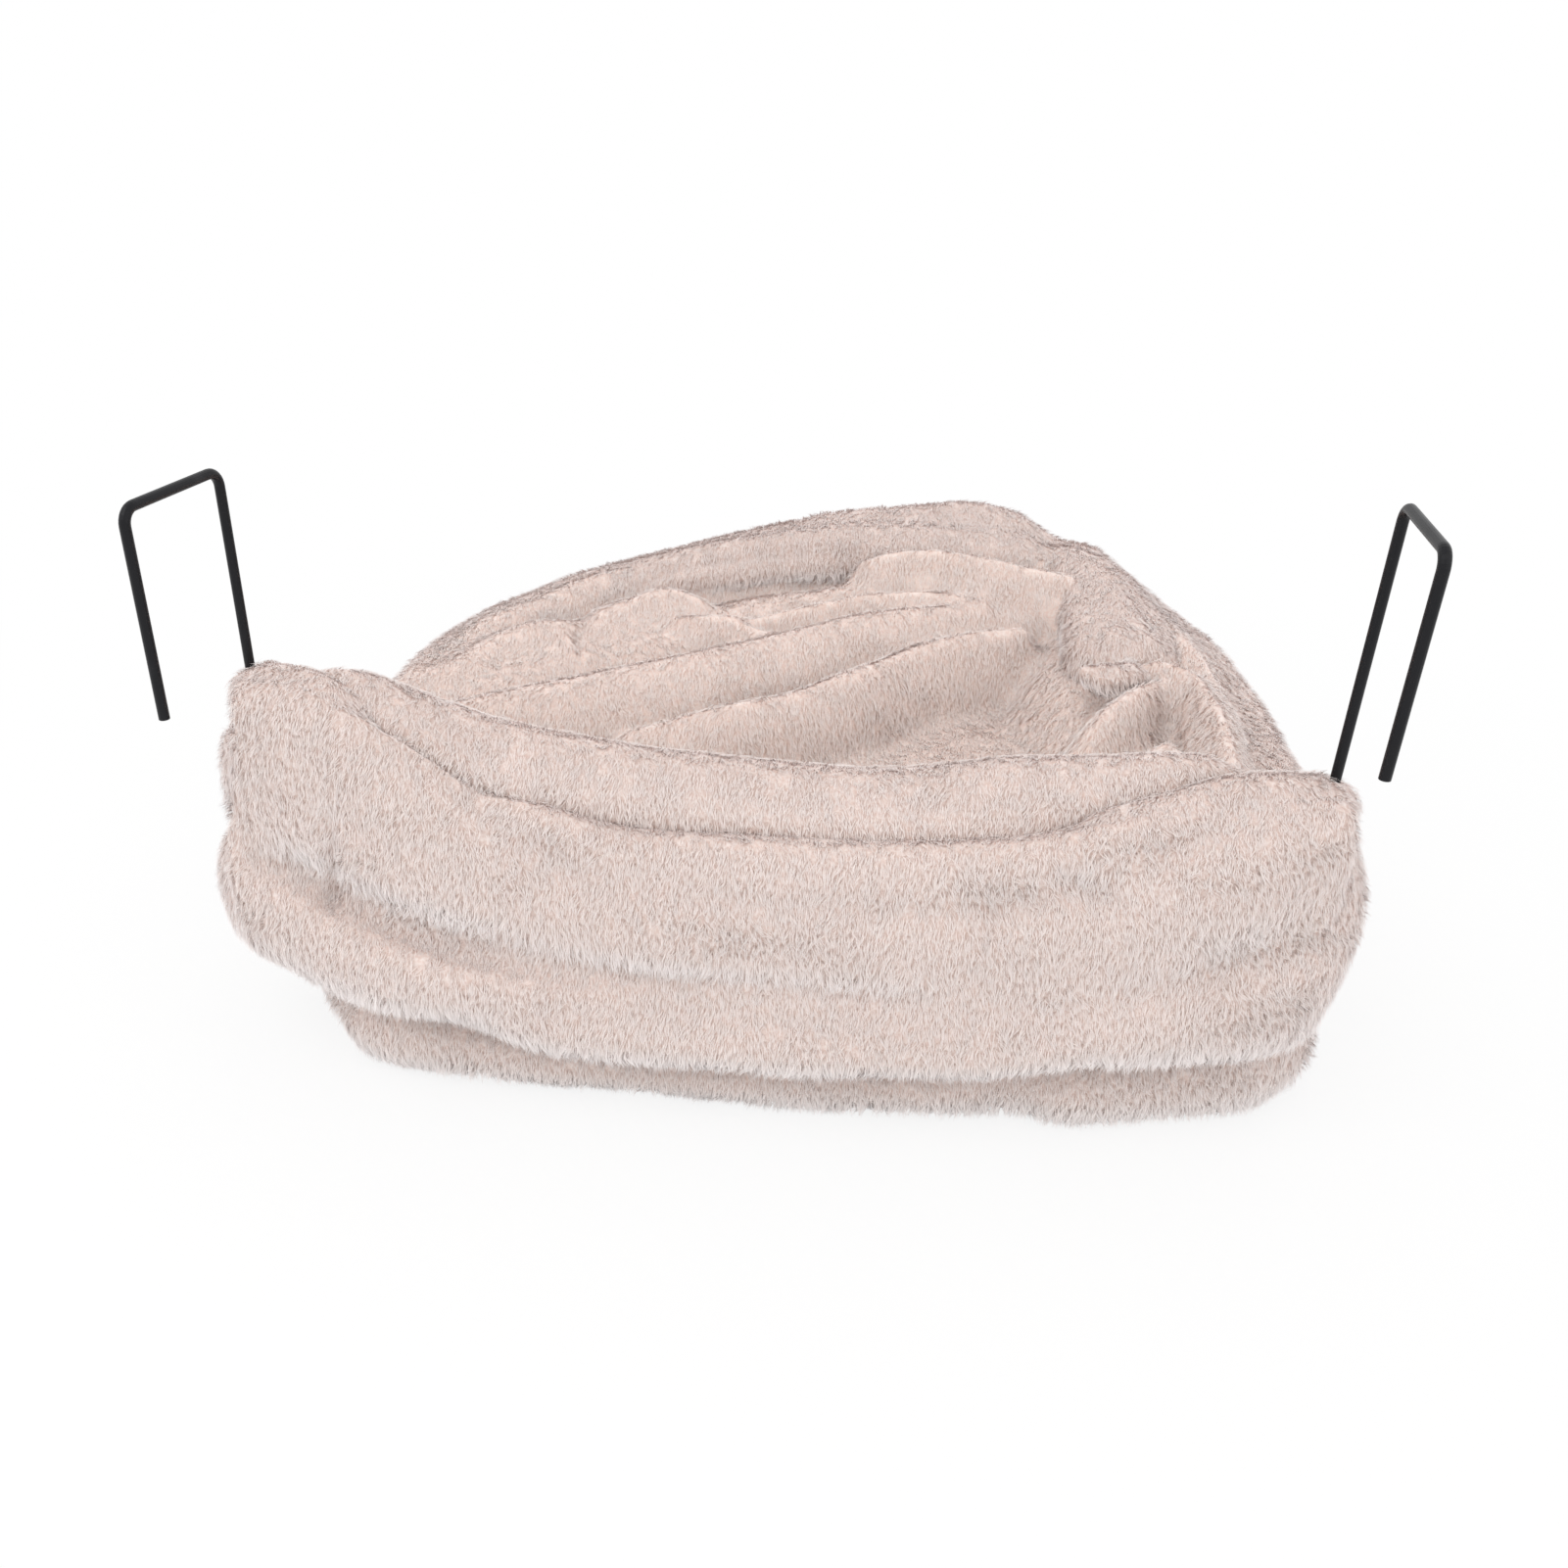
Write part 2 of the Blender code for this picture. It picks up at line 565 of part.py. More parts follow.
def build_lining(root):
    """Inner plush lining, fallen into folds inside the rim."""
    near = RIM_RADIUS + CLOTH_GAP
    far = HOOP_DEPTH - RIM_RADIUS - 2 * CLOTH_GAP
    upper = []
    lower = []
    for row in range(LINING_ROWS + 1):
        depth = near + (far - near) * row / LINING_ROWS
        left, right = lining_edges(depth)
        upper_row = []
        for column in range(LINING_COLUMNS + 1):
            side_share = 2 * column / LINING_COLUMNS - 1
            depth_share = 2 * row / LINING_ROWS - 1
            place = Vector(((left + right + (right - left) * side_share) / 2, depth, 0))
            place.z = lining_height(place, max(abs(side_share), abs(depth_share)))
            upper_row.append(place)
        upper.append(upper_row)
        lower.append([point - Vector((0, 0, LINING_THICKNESS)) for point in upper_row])
    return add_piece("lining", sheet_solid("lining", upper, lower), LINING_PLUSH, root)


def base_outline():
    """Edge of the base in plan: each point, its way inward and the height of the edge there."""
    outline = []
    first = BASE_FRONT_SHARES[0][0]
    final = BASE_FRONT_SHARES[-1][0]
    for step in range(BASE_SIDE_STEPS + 1):
        across = first + (final - first) * step / BASE_SIDE_STEPS
        reach = BASE_FRONT_REACH * through(BASE_FRONT_SHARES, across)
        foot = panel_height(PANEL_FOOT_SHARES, across * HALF_SPAN) - BASE_SEAT_GAP
        place = Vector((across * HALF_SPAN, -reach, 0))
        inward = Vector((-across ** BASE_CORNER_POWER, 1, 0)).normalized()
        outline.append((place, inward, min(foot, BASE_MAX_HEIGHT)))
    hoop = resample(hoop_path(RIM_START + BASE_EDGE_ROLL), 2 * BASE_SIDE_STEPS)[::-1]
    for index, place in enumerate(hoop):
        inward = outward(hoop, index)
        outline.append((Vector((place.x, place.y, 0)) - inward * BASE_SIDE_REACH, inward, BASE_HEIGHT))
    return outline


def build_base(root):
    """Padded base whose thick edge is the lowest roll, flat where it stands."""
    outline = base_outline()
    middle = Vector((0, (HOOP_DEPTH - BASE_FRONT_REACH) / 2, 0))
    rings = []
    for inset_share, level_share in BASE_EDGE_SHARES:
        rings.append([place + inward * BASE_EDGE_ROLL * inset_share + Vector((0, 0, height * level_share))
                      for place, inward, height in outline])
    crown = []
    for point in rings[-1]:
        flat = Vector((point.x, point.y, 0)).lerp(middle, BASE_CROWN_SHARE)
        crown.append(flat + Vector((0, 0, BASE_HEIGHT)))
    rings.append(crown)
    return add_piece("base_panel", ring_solid("base_panel", rings, True), PLUSH, root)


def build_wadding(root):
    """Flat wadding pad that lies on the base, under the lining."""
    path = resample(hoop_path(WADDING_NEAR_MARGIN), BASE_SIDE_STEPS)
    outline = [point - outward(path, index) * WADDING_MARGIN for index, point in enumerate(path)]
    foot = BASE_HEIGHT + SEAT_GAP
    rings = [[Vector((point.x, point.y, level)) for point in outline]
             for level in (foot, foot + WADDING_THICKNESS)]
    return add_piece("base_wadding", ring_solid("base_wadding", rings, True), WADDING, root)


def sleeve_skin(height):
    """Rings of one corner sleeve: the outside with its soft swelling, then the bore."""
    foot = SOCKET_BOTTOM
    outside = []
    bore = []
    for row in range(SLEEVE_ROWS + 1):
        share = row / SLEEVE_ROWS
        radius = SLEEVE_RADIUS + SLEEVE_BULGE * math.sin(math.pi * share)
        level = foot + (height - foot) * share
        outer_ring = []
        inner_ring = []
        for step in range(SLEEVE_SIDES):
            angle = 2 * math.pi * step / SLEEVE_SIDES
            spoke = Vector((math.cos(angle), math.sin(angle), 0))
            outer_ring.append(spoke * radius + Vector((0, 0, level)))
            inner_ring.append(spoke * SLEEVE_BORE + Vector((0, 0, level)))
        outside.append(outer_ring)
        bore.append(inner_ring)
    return outside + [bore[-1], bore[0]]


def wire_way(name, direction, root, location):
    """Cutter for the hole that lets a frame wire through a sleeve's wall."""
    aside = Vector((0, 0, 1)).cross(direction)
    rings = []
    for reach in (SOCKET_RADIUS / 2, SLEEVE_RADIUS + 2 * SLEEVE_BULGE):
        ring = []
        for step in range(WIRE_WAY_SIDES):
            angle = 2 * math.pi * step / WIRE_WAY_SIDES
            upward = Vector((0, 0, math.sin(angle) * RIM_BORE))
            ring.append(direction * reach + aside * math.cos(angle) * RIM_BORE + upward)
        rings.append(ring)
    cutter = add_piece(name, ring_solid(name, rings, True), PLUSH, root, location)
    cutter.hide_render = True
    cutter.display_type = "WIRE"
    return cutter


def build_sleeve(name, side, height, root):
    """Plush corner sleeve round a socket and the hook leg above it."""
    location = Vector((side * HALF_SPAN, 0, 0))
    sleeve = add_piece(name, ring_solid(name, sleeve_skin(height), False), PLUSH, root, location)
    at_frame = location + Vector((0, 0, FRAME_HEIGHT))
    hoop_start = Vector((math.tan(HOOP_SKEW), 1, FRAME_RISE / HOOP_DEPTH))
    ways = [wire_way(name + "_bar_way", Vector((-side, 0, 0)), root, at_frame),
            wire_way(name + "_hoop_way", hoop_start, root, at_frame)]
    for way in ways:
        cut = sleeve.modifiers.new(way.name, "BOOLEAN")
        cut.operation = "DIFFERENCE"
        cut.solver = "EXACT"
        cut.object = way
    return sleeve


def centre_on_footprint(root, pieces):
    """Move the root so that the bed's box is centred on the origin and stands on Z = 0."""
    bpy.context.view_layer.update()
    graph = bpy.context.evaluated_depsgraph_get()
    corners = []
    for piece in pieces:
        evaluated = piece.evaluated_get(graph)
        shape = evaluated.to_mesh()
        corners += [evaluated.matrix_world @ vertex.co for vertex in shape.vertices]
        evaluated.to_mesh_clear()
    low = [min(corner[axis] for corner in corners) for axis in range(3)]
    high = [max(corner[axis] for corner in corners) for axis in range(3)]
    root.location = (-(low[0] + high[0]) / 2, -(low[1] + high[1]) / 2, -low[2])
    bpy.context.view_layer.update()


def build_bed():
    """Build every piece of the bed."""
    remove_everything()
    root = bpy.data.objects.new("bed_root", None)
    bpy.context.collection.objects.link(root)
    pieces = [
        build_hook("left_hook", -1, root),
        build_hook("right_hook", 1, root),
        build_socket("left_socket", -1, root),
        build_socket("right_socket", 1, root),
        build_hoop_wire(root),
        build_back_bar(root),
        build_front_rim(root),
        build_back_rim(root),
        build_back_panel(root),
        build_front_wall(root),
        build_lining(root),
        build_base(root),
        build_wadding(root),
        build_sleeve("left_corner_sleeve", -1, PANEL_HEIGHT, root),
        build_sleeve("right_corner_sleeve", 1, RIGHT_CORNER_HEIGHT, root),
    ]
    centre_on_footprint(root, pieces)


build_bed()
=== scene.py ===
"""Dress the radiator cat bed: a fallen plush sack on a hidden wire frame, with two coated wire hooks.

Places are laid out from the line between the two hook legs: X runs along it from the left hook to the
right one, Y runs away from the radiator and Z is up. All lengths are in metres.
"""

import json
import logging
import math
from dataclasses import dataclass
from enum import Enum

import bpy
import numpy as np
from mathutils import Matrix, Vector, noise
from mathutils.bvhtree import BVHTree


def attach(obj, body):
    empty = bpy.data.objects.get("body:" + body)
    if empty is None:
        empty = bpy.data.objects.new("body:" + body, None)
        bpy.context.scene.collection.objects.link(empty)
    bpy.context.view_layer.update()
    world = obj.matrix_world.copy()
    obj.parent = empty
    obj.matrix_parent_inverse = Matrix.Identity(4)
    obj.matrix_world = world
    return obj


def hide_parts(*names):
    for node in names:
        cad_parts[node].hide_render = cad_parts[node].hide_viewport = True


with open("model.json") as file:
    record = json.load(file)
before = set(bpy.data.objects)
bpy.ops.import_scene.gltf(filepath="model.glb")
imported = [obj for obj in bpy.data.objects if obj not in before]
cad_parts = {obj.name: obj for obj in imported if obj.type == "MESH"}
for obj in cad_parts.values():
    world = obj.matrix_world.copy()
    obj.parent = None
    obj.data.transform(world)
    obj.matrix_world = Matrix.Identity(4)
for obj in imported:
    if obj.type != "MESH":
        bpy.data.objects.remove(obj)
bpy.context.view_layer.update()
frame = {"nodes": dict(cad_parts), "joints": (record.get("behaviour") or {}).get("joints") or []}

LOG = logging.getLogger("radiator_cat_bed")
SACK = "sack"
SWIRL_SEED = 1
Colour = tuple[float, float, float]
Place = tuple[float, float, float]
UP: Place = (0.0, 0.0, 1.0)
SOFT_NODES = ("back_panel", "back_rim_tunnel", "front_rim_tunnel", "front_wall", "lining", "base_panel",
              "base_wadding", "left_corner_sleeve", "right_corner_sleeve")


class Declared(Enum):
    """Kinds of soft piece, sheet or padded; this script doesn't declare pieces to the frame."""

    SHEET = "sheet"
    PADDED = "padded"


def leg_line_origin() -> Vector:
    """Find the middle of the line between the hook legs, at table height.

    Returns:
        The point in the row frame that the layout's places are measured from.
    """
    legs = [Vector(joint["pos_m"]) for joint in frame["joints"]]
    middle = sum(legs, Vector()) / len(legs)
    middle.z = 0.0
    return middle


ORIGIN = leg_line_origin()


def smooth_line(points: tuple[tuple[float, ...], ...], count: int) -> np.ndarray:
    """Read evenly spaced rows off a smooth line through rows of numbers.

    Args:
        points: Rows that the line goes through, each starting with X, Y and Z.
        count: How many rows are wanted.

    Returns:
        An array of count rows.
    """
    rows = np.array(points, float)
    steps = np.linalg.norm(np.diff(rows[:, :3], axis=0), axis=1)
    along = np.concatenate([[0.0], np.cumsum(steps)])
    slopes = np.gradient(rows, along, axis=0)
    wanted = np.linspace(0.0, along[-1], count)
    index = np.clip(np.searchsorted(along, wanted, "right") - 1, 0, len(along) - 2)
    run = (along[index + 1] - along[index])[:, None]
    share = (wanted - along[index])[:, None] / run
    near = (1 + 2 * share) * (1 - share) ** 2 * rows[index]
    far = share ** 2 * (3 - 2 * share) * rows[index + 1]
    near_bend = share * (1 - share) ** 2 * run * slopes[index]
    far_bend = share ** 2 * (share - 1) * run * slopes[index + 1]
    return near + far + near_bend + far_bend


def unit(vectors: np.ndarray) -> np.ndarray:
    """Scale each row of an array to length one.

    Args:
        vectors: Rows of vectors.

    Returns:
        The same directions with length one.
    """
    lengths = np.linalg.norm(vectors, axis=1, keepdims=True)
    return vectors / np.maximum(lengths, 1e-9)


def noise_field(places: np.ndarray, scale: float) -> np.ndarray:
    """Read smooth noise at many places.

    Args:
        places: Rows of points.
        scale: Size of one lump of the noise.

    Returns:
        One value from about minus one to one for each place.
    """
    return np.array([noise.noise(row) for row in (places / scale).tolist()])


def noise_vectors(places: np.ndarray, scale: float) -> np.ndarray:
    """Read smooth noise directions at many places, the same ones on every run.

    Args:
        places: Rows of points.
        scale: Size of one swirl.

    Returns:
        A vector for each place.
    """
    noise.seed_set(SWIRL_SEED)
    return np.array([noise.noise_vector(row) for row in (places / scale).tolist()])


def blended(first: np.ndarray, second: np.ndarray, reach: float) -> np.ndarray:
    """Take the higher of two heights, with a soft passage where they are nearly the same.

    Args:
        first: Heights above the floor.
        second: Other heights above the floor.
        reach: Difference at which the passage starts.

    Returns:
        The blended heights.
    """
    nearness = np.clip(1 - np.abs(first - second) / reach, 0.0, 1.0)
    raised = np.clip(np.minimum(first, second) / reach, 0.0, 1.0)
    return np.maximum(first, second) + nearness * nearness * raised * reach / 4


def mesh_from_rings(name: str, rings: np.ndarray) -> bpy.types.Mesh:
    """Skin rings of points into a closed mesh with capped ends.

    Args:
        name: Name of the mesh.
        rings: Array of rings by points by three.

    Returns:
        The closed mesh.
    """
    ring_count, side_count, _ = rings.shape
    faces = []
    for ring in range(ring_count - 1):
        for side in range(side_count):
            following = (side + 1) % side_count
            faces.append((ring * side_count + side, ring * side_count + following,
                          (ring + 1) * side_count + following, (ring + 1) * side_count + side))
    faces.append(tuple(range(side_count))[::-1])
    faces.append(tuple(range((ring_count - 1) * side_count, ring_count * side_count)))
    mesh = bpy.data.meshes.new(name)
    mesh.from_pydata(rings.reshape(-1, 3).tolist(), [], faces)
    return mesh


def add_object(name: str, mesh: bpy.types.Mesh) -> bpy.types.Object:
    """Put a mesh in the scene.

    Args:
        name: Name of the object.
        mesh: Its mesh.

    Returns:
        The new object.
    """
    piece = bpy.data.objects.new(name, mesh)
    bpy.context.scene.collection.objects.link(piece)
    return piece


def joined(name: str, meshes: list[bpy.types.Mesh]) -> bpy.types.Mesh:
    """Join meshes into one, without merging their points.

    Args:
        name: Name of the new mesh.
        meshes: The meshes, all in the row frame.

    Returns:
        One mesh with all their faces.
    """
    places: list[tuple[float, float, float]] = []
    faces: list[tuple[int, ...]] = []
    for mesh in meshes:
        first = len(places)
        places += [tuple(vertex.co) for vertex in mesh.vertices]
        faces += [tuple(first + index for index in polygon.vertices) for polygon in mesh.polygons]
    union = bpy.data.meshes.new(name)
    union.from_pydata(places, [], faces)
    return union


def softened(mesh: bpy.types.Mesh, voxel: float, steps: int) -> bpy.types.Mesh:
    """Remesh a closed mesh evenly and smooth it, as cloth and filling round a form off.

    Args:
        mesh: The mesh, whose closed parts may overlap.
        voxel: Size of the new faces.
        steps: How many times the points are smoothed.

    Returns:
        The new mesh.
    """
    piece = add_object(mesh.name + "_forming", mesh)
    remesh = piece.modifiers.new("remesh", "REMESH")
    remesh.mode = "VOXEL"
    remesh.voxel_size = voxel
    smooth = piece.modifiers.new("smooth", "SMOOTH")
    smooth.factor = 0.5
    smooth.iterations = steps
    graph = bpy.context.evaluated_depsgraph_get()
    result = bpy.data.meshes.new_from_object(piece.evaluated_get(graph))
    bpy.data.objects.remove(piece, do_unlink=True)
    return result


@dataclass(frozen=True)
class Filling:
    """Loose filling that swells a closed cover, by a cloth simulation with pressure inside."""

    most_swell: float = 0.005
    most_shrink: float = 0.0005
    voxel: float = 0.0055
    slack: float = 0.0015
    pressure: float = 4.0
    mass: float = 0.3
    last_frame: int = 20
    smoothing: int = 2

    def swelled(self, mesh: bpy.types.Mesh) -> bpy.types.Mesh:
        """Swell a closed mesh with the filling.

        Args:
            mesh: The cover's mesh in the row frame.

        Returns:
            The swollen mesh, subdivided once.
        """
        cover = softened(mesh, self.voxel, self.smoothing)
        outs = read_normals(cover)
        before = read_places(cover) - outs * self.slack
        cover.vertices.foreach_set("co", before.ravel())
        piece = add_object(mesh.name + "_cover", cover)
        cloth = piece.modifiers.new("cloth", "CLOTH")
        cloth.settings.mass = self.mass
        cloth.settings.use_pressure = True
        cloth.settings.uniform_pressure_force = self.pressure
        cloth.settings.effector_weights.gravity = 0.0
        cloth.collision_settings.use_collision = False
        scene = bpy.context.scene
        for number in range(1, self.last_frame + 1):
            scene.frame_set(number)
        graph = bpy.context.evaluated_depsgraph_get()
        swollen = bpy.data.meshes.new_from_object(piece.evaluated_get(graph))
        swell = ((read_places(swollen) - before) * outs).sum(axis=1)
        swell = np.clip(swell, self.slack - self.most_shrink, self.slack + self.most_swell)
        bpy.data.meshes.remove(swollen)
        piece.modifiers.remove(cloth)
        scene.frame_set(1)
        cover.vertices.foreach_set("co", (before + outs * swell[:, None]).ravel())
        cover.update()
        piece.modifiers.new("even", "SMOOTH").iterations = self.smoothing
        piece.modifiers.new("round", "SUBSURF").levels = 1
        graph = bpy.context.evaluated_depsgraph_get()
        result = bpy.data.meshes.new_from_object(piece.evaluated_get(graph))
        bpy.data.objects.remove(piece, do_unlink=True)
        LOG.info("%s: swells by %.1f mm on average", mesh.name, 1000 * float(swell.mean() - self.slack))
        return result


def surface_tree(mesh: bpy.types.Mesh) -> BVHTree:
    """Return a search tree over the faces of a mesh."""
    return BVHTree.FromPolygons([tuple(vertex.co) for vertex in mesh.vertices],
                                [tuple(polygon.vertices) for polygon in mesh.polygons])


def read_places(mesh: bpy.types.Mesh) -> np.ndarray:
    """Return the points of a mesh as rows."""
    places = np.empty(len(mesh.vertices) * 3)
    mesh.vertices.foreach_get("co", places)
    return places.reshape(-1, 3)


def read_normals(mesh: bpy.types.Mesh) -> np.ndarray:
    """Return the normals at the points of a mesh as rows."""
    normals = np.empty(len(mesh.vertices) * 3, np.float32)
    mesh.vertex_normals.foreach_get("vector", normals)
    return normals.reshape(-1, 3).astype(float)


# Shader pieces


class Sheet:
    """A node tree with short ways to add and link its nodes."""

    def __init__(self, tree: bpy.types.NodeTree) -> None:
        """Keep the tree that nodes go into."""
        self.tree = tree

    def add(self, kind: str, **settings: object) -> bpy.types.Node:
        """Add a node.

        Args:
            kind: The node's type name.
            **settings: Properties to set on it.

        Returns:
            The new node.
        """
        node = self.tree.nodes.new(kind)
        for name, value in settings.items():
            setattr(node, name, value)
        return node

    def join(self, source: bpy.types.NodeSocket, target: bpy.types.NodeSocket) -> None:
        """Link an output to an input."""
        self.tree.links.new(source, target)


def ranged(sheet: Sheet, value: bpy.types.NodeSocket, low: float, high: float) -> bpy.types.NodeSocket:
    """Stretch a value from low and high to zero and one, with soft ends.

    Args:
        sheet: The tree that gets the node.
        value: The value to stretch.
        low: What becomes zero.
        high: What becomes one.

    Returns:
        The stretched value.
    """
    node = sheet.add("ShaderNodeMapRange", interpolation_type="SMOOTHSTEP")
    sheet.join(value, node.inputs["Value"])
    node.inputs["From Min"].default_value = low
    node.inputs["From Max"].default_value = high
    return node.outputs["Result"]


def mixed(sheet: Sheet, share: bpy.types.NodeSocket, first: bpy.types.NodeSocket,
          second: bpy.types.NodeSocket) -> bpy.types.NodeSocket:
    """Mix two colours.

    Args:
        sheet: The tree that gets the node.
        share: How much of the second colour is used.
        first: The first colour.
        second: The second colour.

    Returns:
        The mixed colour.
    """
    node = sheet.add("ShaderNodeMix", data_type="RGBA")
    sheet.join(share, node.inputs["Factor"])
    sheet.join(first, node.inputs["A"])
    sheet.join(second, node.inputs["B"])
    return node.outputs["Result"]


def new_group(name: str, inputs: dict[str, str], outputs: dict[str, str]) -> bpy.types.NodeTree:
    """Start a shader node group with named sockets.

    Args:
        name: Name of the group.
        inputs: Socket type for each input name.
        outputs: Socket type for each output name.

    Returns:
        The group's tree, which is still empty.
    """
    tree = bpy.data.node_groups.new(name, "ShaderNodeTree")
    for label, kind in inputs.items():
        tree.interface.new_socket(name=label, in_out="INPUT", socket_type=kind)
    for label, kind in outputs.items():
        tree.interface.new_socket(name=label, in_out="OUTPUT", socket_type=kind)
    return tree


def fibre_tone_group() -> bpy.types.NodeTree:
    """Return the group that colours plush from a fibre's root to its tip, made once."""
    name = "fibre_tone"
    root_to, tip_from = 0.55, 0.45
    darkest, palest = 0.94, 1.04
    if name in bpy.data.node_groups:
        return bpy.data.node_groups[name]
    tree = new_group(name, {"Root": "NodeSocketColor", "Body": "NodeSocketColor", "Tip": "NodeSocketColor",
                            "Along": "NodeSocketFloat", "Tone": "NodeSocketFloat"},
                     {"Colour": "NodeSocketColor"})
    sheet = Sheet(tree)
    given = sheet.add("NodeGroupInput").outputs
    lower = mixed(sheet, ranged(sheet, given["Along"], 0.0, root_to), given["Root"], given["Body"])
    upper = mixed(sheet, ranged(sheet, given["Along"], tip_from, 1.0), lower, given["Tip"])
    shade = sheet.add("ShaderNodeMapRange")
    sheet.join(given["Tone"], shade.inputs["Value"])
    shade.inputs["To Min"].default_value = darkest
    shade.inputs["To Max"].default_value = palest
    toned = sheet.add("ShaderNodeVectorMath", operation="SCALE")
    sheet.join(upper, toned.inputs["Vector"])
    sheet.join(shade.outputs["Result"], toned.inputs["Scale"])
    sheet.join(toned.outputs["Vector"], sheet.add("NodeGroupOutput").inputs["Colour"])
    return tree


def fine_grain_group() -> bpy.types.NodeTree:
    """Return the group that gives a fine lumpy grain and a slow mottle, made once."""
    name = "fine_grain"
    if name in bpy.data.node_groups:
        return bpy.data.node_groups[name]
    tree = new_group(name, {"Grain Scale": "NodeSocketFloat", "Mottle Scale": "NodeSocketFloat"},
                     {"Grain": "NodeSocketFloat", "Mottle": "NodeSocketFloat"})
    sheet = Sheet(tree)
    given = sheet.add("NodeGroupInput").outputs
    place = sheet.add("ShaderNodeTexCoord").outputs["Object"]
    given_out = sheet.add("NodeGroupOutput").inputs
    for size, output, detail in (("Grain Scale", "Grain", 3.0), ("Mottle Scale", "Mottle", 1.0)):
        lumps = sheet.add("ShaderNodeTexNoise")
        sheet.join(place, lumps.inputs["Vector"])
        sheet.join(given[size], lumps.inputs["Scale"])
        lumps.inputs["Detail"].default_value = detail
        sheet.join(lumps.outputs["Fac"], given_out[output])
    return tree


def place_group(sheet: Sheet, tree: bpy.types.NodeTree, values: dict[str, object]) -> bpy.types.Node:
    """Put a node group in a material with its own values.

    Args:
        sheet: The material's tree.
        tree: The group.
        values: A value for each input that isn't linked.

    Returns:
        The group node.
    """
    node = sheet.add("ShaderNodeGroup", node_tree=tree)
    for label, value in values.items():
        node.inputs[label].default_value = value
    return node


def start_material(name: str) -> tuple[bpy.types.Material, Sheet, bpy.types.Node]:
    """Start a Principled material.

    Args:
        name: Name of the material.

    Returns:
        The material, its tree and its Principled node.
    """
    material = bpy.data.materials.new(name)
    material.use_nodes = True
    sheet = Sheet(material.node_tree)
    return material, sheet, material.node_tree.nodes["Principled BSDF"]


@dataclass(frozen=True)
class PlushFinish:
    """Colours of a plush from the fibres' roots to their tips; the darker, redder root is painted shade deep
    in the pile.
    """

    name: str
    root: Colour
    body: Colour
    tip: Colour
    roughness: float = 0.85
    sheen: float = 0.55
    sheen_tint: Colour = (0.94, 0.94, 1.0)
    pile_specular: float = 0.2
    clump_scale: float = 700.0
    clump_to: float = 1.3
    mottle_scale: float = 14.0
    bump: float = 0.4
    bump_depth: float = 0.0005

    def _tone_node(self, sheet: Sheet) -> bpy.types.Node:
        """Place the fibre colour group with this finish's colours."""
        return place_group(sheet, fibre_tone_group(), {"Root": (*self.root, 1.0), "Body": (*self.body, 1.0),
                                                       "Tip": (*self.tip, 1.0)})

    def backing(self) -> bpy.types.Material:
        """Make the material of the cloth under the pile.

        Returns:
            A material whose colour and bump lie in small clumps.
        """
        material, sheet, shader = start_material(self.name + "_backing")
        grain = place_group(sheet, fine_grain_group(), {"Grain Scale": self.clump_scale,
                                                        "Mottle Scale": self.mottle_scale})
        tone = self._tone_node(sheet)
        # Where the grain is low the bump sinks and the colour takes the darker root: painted shade in the
        # hollows.
        sheet.join(ranged(sheet, grain.outputs["Grain"], 0.0, self.clump_to), tone.inputs["Along"])
        sheet.join(grain.outputs["Mottle"], tone.inputs["Tone"])
        sheet.join(tone.outputs["Colour"], shader.inputs["Base Color"])
        bump = sheet.add("ShaderNodeBump")
        bump.inputs["Strength"].default_value = self.bump
        bump.inputs["Distance"].default_value = self.bump_depth
        sheet.join(grain.outputs["Grain"], bump.inputs["Height"])
        sheet.join(bump.outputs["Normal"], shader.inputs["Normal"])
        shader.inputs["Roughness"].default_value = self.roughness
        shader.inputs["Sheen Weight"].default_value = self.sheen
        shader.inputs["Sheen Tint"].default_value = (*self.sheen_tint, 1.0)
        return material

    def pile(self) -> bpy.types.Material:
        """Make the material of the fibres.

        Returns:
            A material that reads each fibre's own tone and the way along it.
        """
        material, sheet, shader = start_material(self.name + "_pile")
        along = sheet.add("ShaderNodeAttribute", attribute_name="along")
        own_tone = sheet.add("ShaderNodeAttribute", attribute_name="tone")
        tone = self._tone_node(sheet)
        sheet.join(along.outputs["Fac"], tone.inputs["Along"])
        sheet.join(own_tone.outputs["Fac"], tone.inputs["Tone"])
        sheet.join(tone.outputs["Colour"], shader.inputs["Base Color"])
        shader.inputs["Roughness"].default_value = self.roughness
        shader.inputs["Sheen Weight"].default_value = self.sheen
        shader.inputs["Sheen Tint"].default_value = (*self.sheen_tint, 1.0)
        shader.inputs["Specular IOR Level"].default_value = self.pile_specular
        return material


